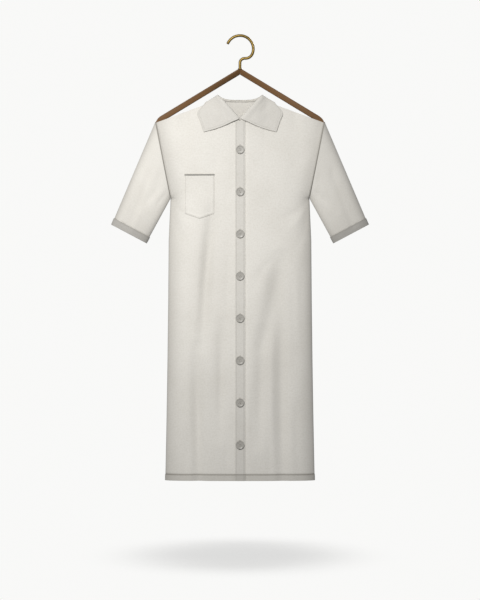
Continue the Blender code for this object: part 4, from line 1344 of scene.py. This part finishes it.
def makeButtons():
    sizes = buttonSizes
    form = buttonForm()
    loops, shank = threadForm()
    hole = buttonholeForm()
    for k in range(sizes["count"]):
        z = sizes["topZ"] - k * sizes["pitch"]
        reach = sizes["radius"]
        above, here, below = (onPanel(0.0, z + step, False)[1] for step in (reach, 0.0, -reach))
        front = min(above + below, 2 * here) / 2
        tilt = math.atan2(above - below, 2 * reach)
        turn = Matrix.Rotation(math.pi / 2 - tilt, 4, "X")
        place = Matrix.Translation((0, front - sizes["back"], z)) @ turn
        spin = Matrix.Rotation(math.radians(sizes["spins"][k]), 4, "Z")
        placeCopy(form, f"round_button_{k + 1}", place @ spin, buttonStuff, "button", f"button_{k + 1}")
        placeCopy(loops, f"button_thread_{k + 1}", place @ spin, buttonThread, "linen")
        placeCopy(shank, f"button_shank_{k + 1}", place, buttonThread, "linen")
        onCloth = Matrix.Translation((0, here - placketSizes["lift"], z)) @ turn
        placeCopy(hole, f"buttonhole_{k + 1}", onCloth, thread, "linen")
    for piece in (form, loops, shank, hole):
        bpy.data.objects.remove(piece)


makeButtons()
print("buttons made")

# hanger: the wooden arms keep their solids' shape, with the faces joined and shaded as one

hookSizes = {
    "rod": 0.0038,
    "radius": 0.0353,
    "tip": math.radians(156),
    "turn": math.radians(-20),
    "innerBend": 0.020,
    "outerBend": 0.012,
    "seat": -0.0859,
    "shank": 0.0024,
    "shankDepth": 0.0105,
    "collar": 0.0055,
    "collarHeight": 0.0022,
    "collarRound": 0.0006,
}


def makeArm(word, colour):
    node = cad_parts[f"hanger_arm_{word}"]
    piece = newObject(f"arm_{word}", node.data.copy())
    turnOutwards(piece)
    shadeSmooth(piece, 40)
    finishPiece(piece, colour, "wood", f"hanger_arm_{word}")


def hookPath():
    sizes = hookSizes
    around, inner, outer = sizes["radius"], sizes["innerBend"], sizes["outerBend"]
    turn = math.acos((outer - (around - inner) * math.cos(sizes["turn"])) / (inner + outer))
    innerMiddle = np.array((math.cos(sizes["turn"]), math.sin(sizes["turn"]))) * (around - inner)
    outerMiddle = innerMiddle + np.array((math.cos(-turn), math.sin(-turn))) * (inner + outer)
    path = []
    for middle, reach, first, last, count in (
        ((0, 0), around, sizes["tip"], sizes["turn"], 72),
        (innerMiddle, inner, sizes["turn"], -turn, 24),
        (outerMiddle, outer, math.pi - turn, math.pi, 18),
    ):
        for k in range(count + (reach == outer)):
            angle = lerp(first, last, k / count)
            path.append((middle[0] + reach * math.cos(angle), middle[1] + reach * math.sin(angle)))
    drop = around - sizes["rod"]
    return [(x, 0.0, z - drop) for x, z in path]


def makeHook():
    sizes = hookSizes
    seat, rod = sizes["seat"], hookPath()
    rod += [(0, 0, lerp(rod[-1][2], seat + 0.0004, k / 6)) for k in range(1, 7)]
    body = curveTube("hook_rod", [rod], sizes["rod"], 28)
    # the tip is filed round
    tip, way = Vector(rod[0]), (Vector(rod[0]) - Vector(rod[1])).normalized()
    deselect()
    bpy.ops.mesh.primitive_uv_sphere_add(segments=28, ring_count=16, radius=sizes["rod"])
    ball = bpy.context.object
    turned = way.to_track_quat("Z", "Y").to_matrix().to_4x4()
    ball.data.transform(Matrix.Translation(tip) @ turned @ Matrix.Diagonal((1, 1, 0.55, 1)))
    shankPath = [(0, 0, seat + 0.001), (0, 0, seat - sizes["shankDepth"])]
    shank = curveTube("hook_shank", [shankPath], sizes["shank"], 20)
    deselect()
    bpy.ops.mesh.primitive_cylinder_add(
        vertices=40,
        radius=sizes["collar"],
        depth=sizes["collarHeight"],
        location=(0, 0, seat + 0.0003 + sizes["collarHeight"] / 2),
    )
    ring = bpy.context.object
    pickUp(ring)
    bpy.ops.object.transform_apply(location=True, rotation=False, scale=False)
    bevelEdges(ring, sizes["collarRound"], 3, 40)
    deselect()
    for part in (ball, shank, ring, body):
        part.select_set(True)
    bpy.context.view_layer.objects.active = body
    bpy.ops.object.join()
    body.name = "hook"
    shadeSmooth(body, 45)
    finishPiece(body, brass, "brass", "hanger_hook")


makeArm("right", woodRight)
makeArm("left", woodLeft)
makeHook()
print("hanger made")

# floor, light and camera

stageSizes = {
    "floorZ": -1.373,
    "floorRadius": 0.62,
    "solidRadius": 0.04,
    "shadowColour": (0.45, 0.45, 0.448, 1),
    "shadowStrength": 0.37,
    "shadowStretch": (1.28, 1, 0),
    "lens": 135.0,
    "sensor": 36.0,
    "pixel": 0.00265,
    "height": 600,
    "railRow": 37,
}
Lamp = namedtuple("Lamp", "name place target size power colour spread")
lamps = (
    Lamp("key", (-0.62, -2.45, 0.60), (-0.27, 0, -0.50), 0.6, 7.2, (1.0, 0.99, 0.975), 60),
    Lamp("above", (-0.05, 0.0, 1.5), (0, 0, -0.8), 0.9, 3, (1, 1, 1), 180),
    Lamp("behind", (0.95, 2.30, 0.70), (0.12, 0, -0.48), 0.8, 8.5, (0.99, 0.992, 1.0), 72),
)


def makeStage():
    # the floor is a grey disc that fades out to nothing: its darkness is a painted shadow under the shirt,
    # and the lamps' own shadows fall on it too
    sizes = stageSizes
    deselect()
    bpy.ops.mesh.primitive_circle_add(vertices=96, radius=sizes["floorRadius"], fill_type="NGON")
    floor = bpy.context.object
    floor.name = "floor"
    floor.data.transform(Matrix.Translation((0, 0, sizes["floorZ"])))
    material, shader, base = newMaterial("floor_painted_shadow", 0.95, Specular_IOR_Level=0.0)
    place = base.node("ShaderNodeTexCoord", output=3)
    stretched = {0: place, 1: sizes["shadowStretch"]}
    flat = place.node("ShaderNodeVectorMath", {"operation": "MULTIPLY"}, stretched)
    far = flat.node("ShaderNodeVectorMath", {"operation": "LENGTH"}, {0: flat}, output=1)
    # painted shadow: a grey, part see-through colour, strongest in the middle
    shader.inputs["Base Color"].default_value = sizes["shadowColour"]
    near = 1 - far.between(sizes["solidRadius"], sizes["floorRadius"] * 0.98)
    feed(shader, Alpha=near * near * (3 - near * 2) * sizes["shadowStrength"])
    floor.data.materials.append(material)


def makeLight(lamp):
    light = bpy.data.lights.new(lamp.name, "AREA")
    light.energy, light.size, light.color = lamp.power, lamp.size, lamp.colour
    light.spread = math.radians(lamp.spread)
    holder = newObject(lamp.name, light)
    holder.location = lamp.place
    holder.rotation_euler = (Vector(lamp.target) - Vector(lamp.place)).to_track_quat("-Z", "Y").to_euler()


def makeWorld():
    world = bpy.data.worlds.new("studio")
    bpy.context.scene.world = world
    world.use_nodes = True
    tree = world.node_tree
    background = tree.nodes["Background"]
    background.inputs["Color"].default_value = (0.945, 0.945, 0.935, 1)
    dim = tree.nodes.new("ShaderNodeBackground")
    dim.inputs["Color"].default_value = (0.97, 0.98, 1.0, 1)
    dim.inputs["Strength"].default_value = 0.30
    seen = tree.nodes.new("ShaderNodeLightPath")
    mixed = tree.nodes.new("ShaderNodeMixShader")
    tree.links.new(seen.outputs["Is Camera Ray"], mixed.inputs[0])
    tree.links.new(dim.outputs[0], mixed.inputs[1])
    tree.links.new(background.outputs[0], mixed.inputs[2])
    tree.links.new(mixed.outputs[0], tree.nodes["World Output"].inputs["Surface"])


def makeCamera():
    sizes = stageSizes
    camera = bpy.data.cameras.new("camera")
    camera.lens, camera.sensor_width = sizes["lens"], sizes["sensor"]
    holder = newObject("camera", camera)
    distance = sizes["pixel"] * sizes["height"] * sizes["lens"] / sizes["sensor"]
    centreZ = -(sizes["height"] / 2 - sizes["railRow"]) * sizes["pixel"]
    holder.location = (0, -distance, centreZ)
    holder.rotation_euler = (math.pi / 2, 0, 0)
    bpy.context.scene.camera = holder


makeStage()
for lamp in lamps:
    makeLight(lamp)
makeWorld()
makeCamera()
bpy.context.scene.view_settings.view_transform = "Standard"
print("stage made")
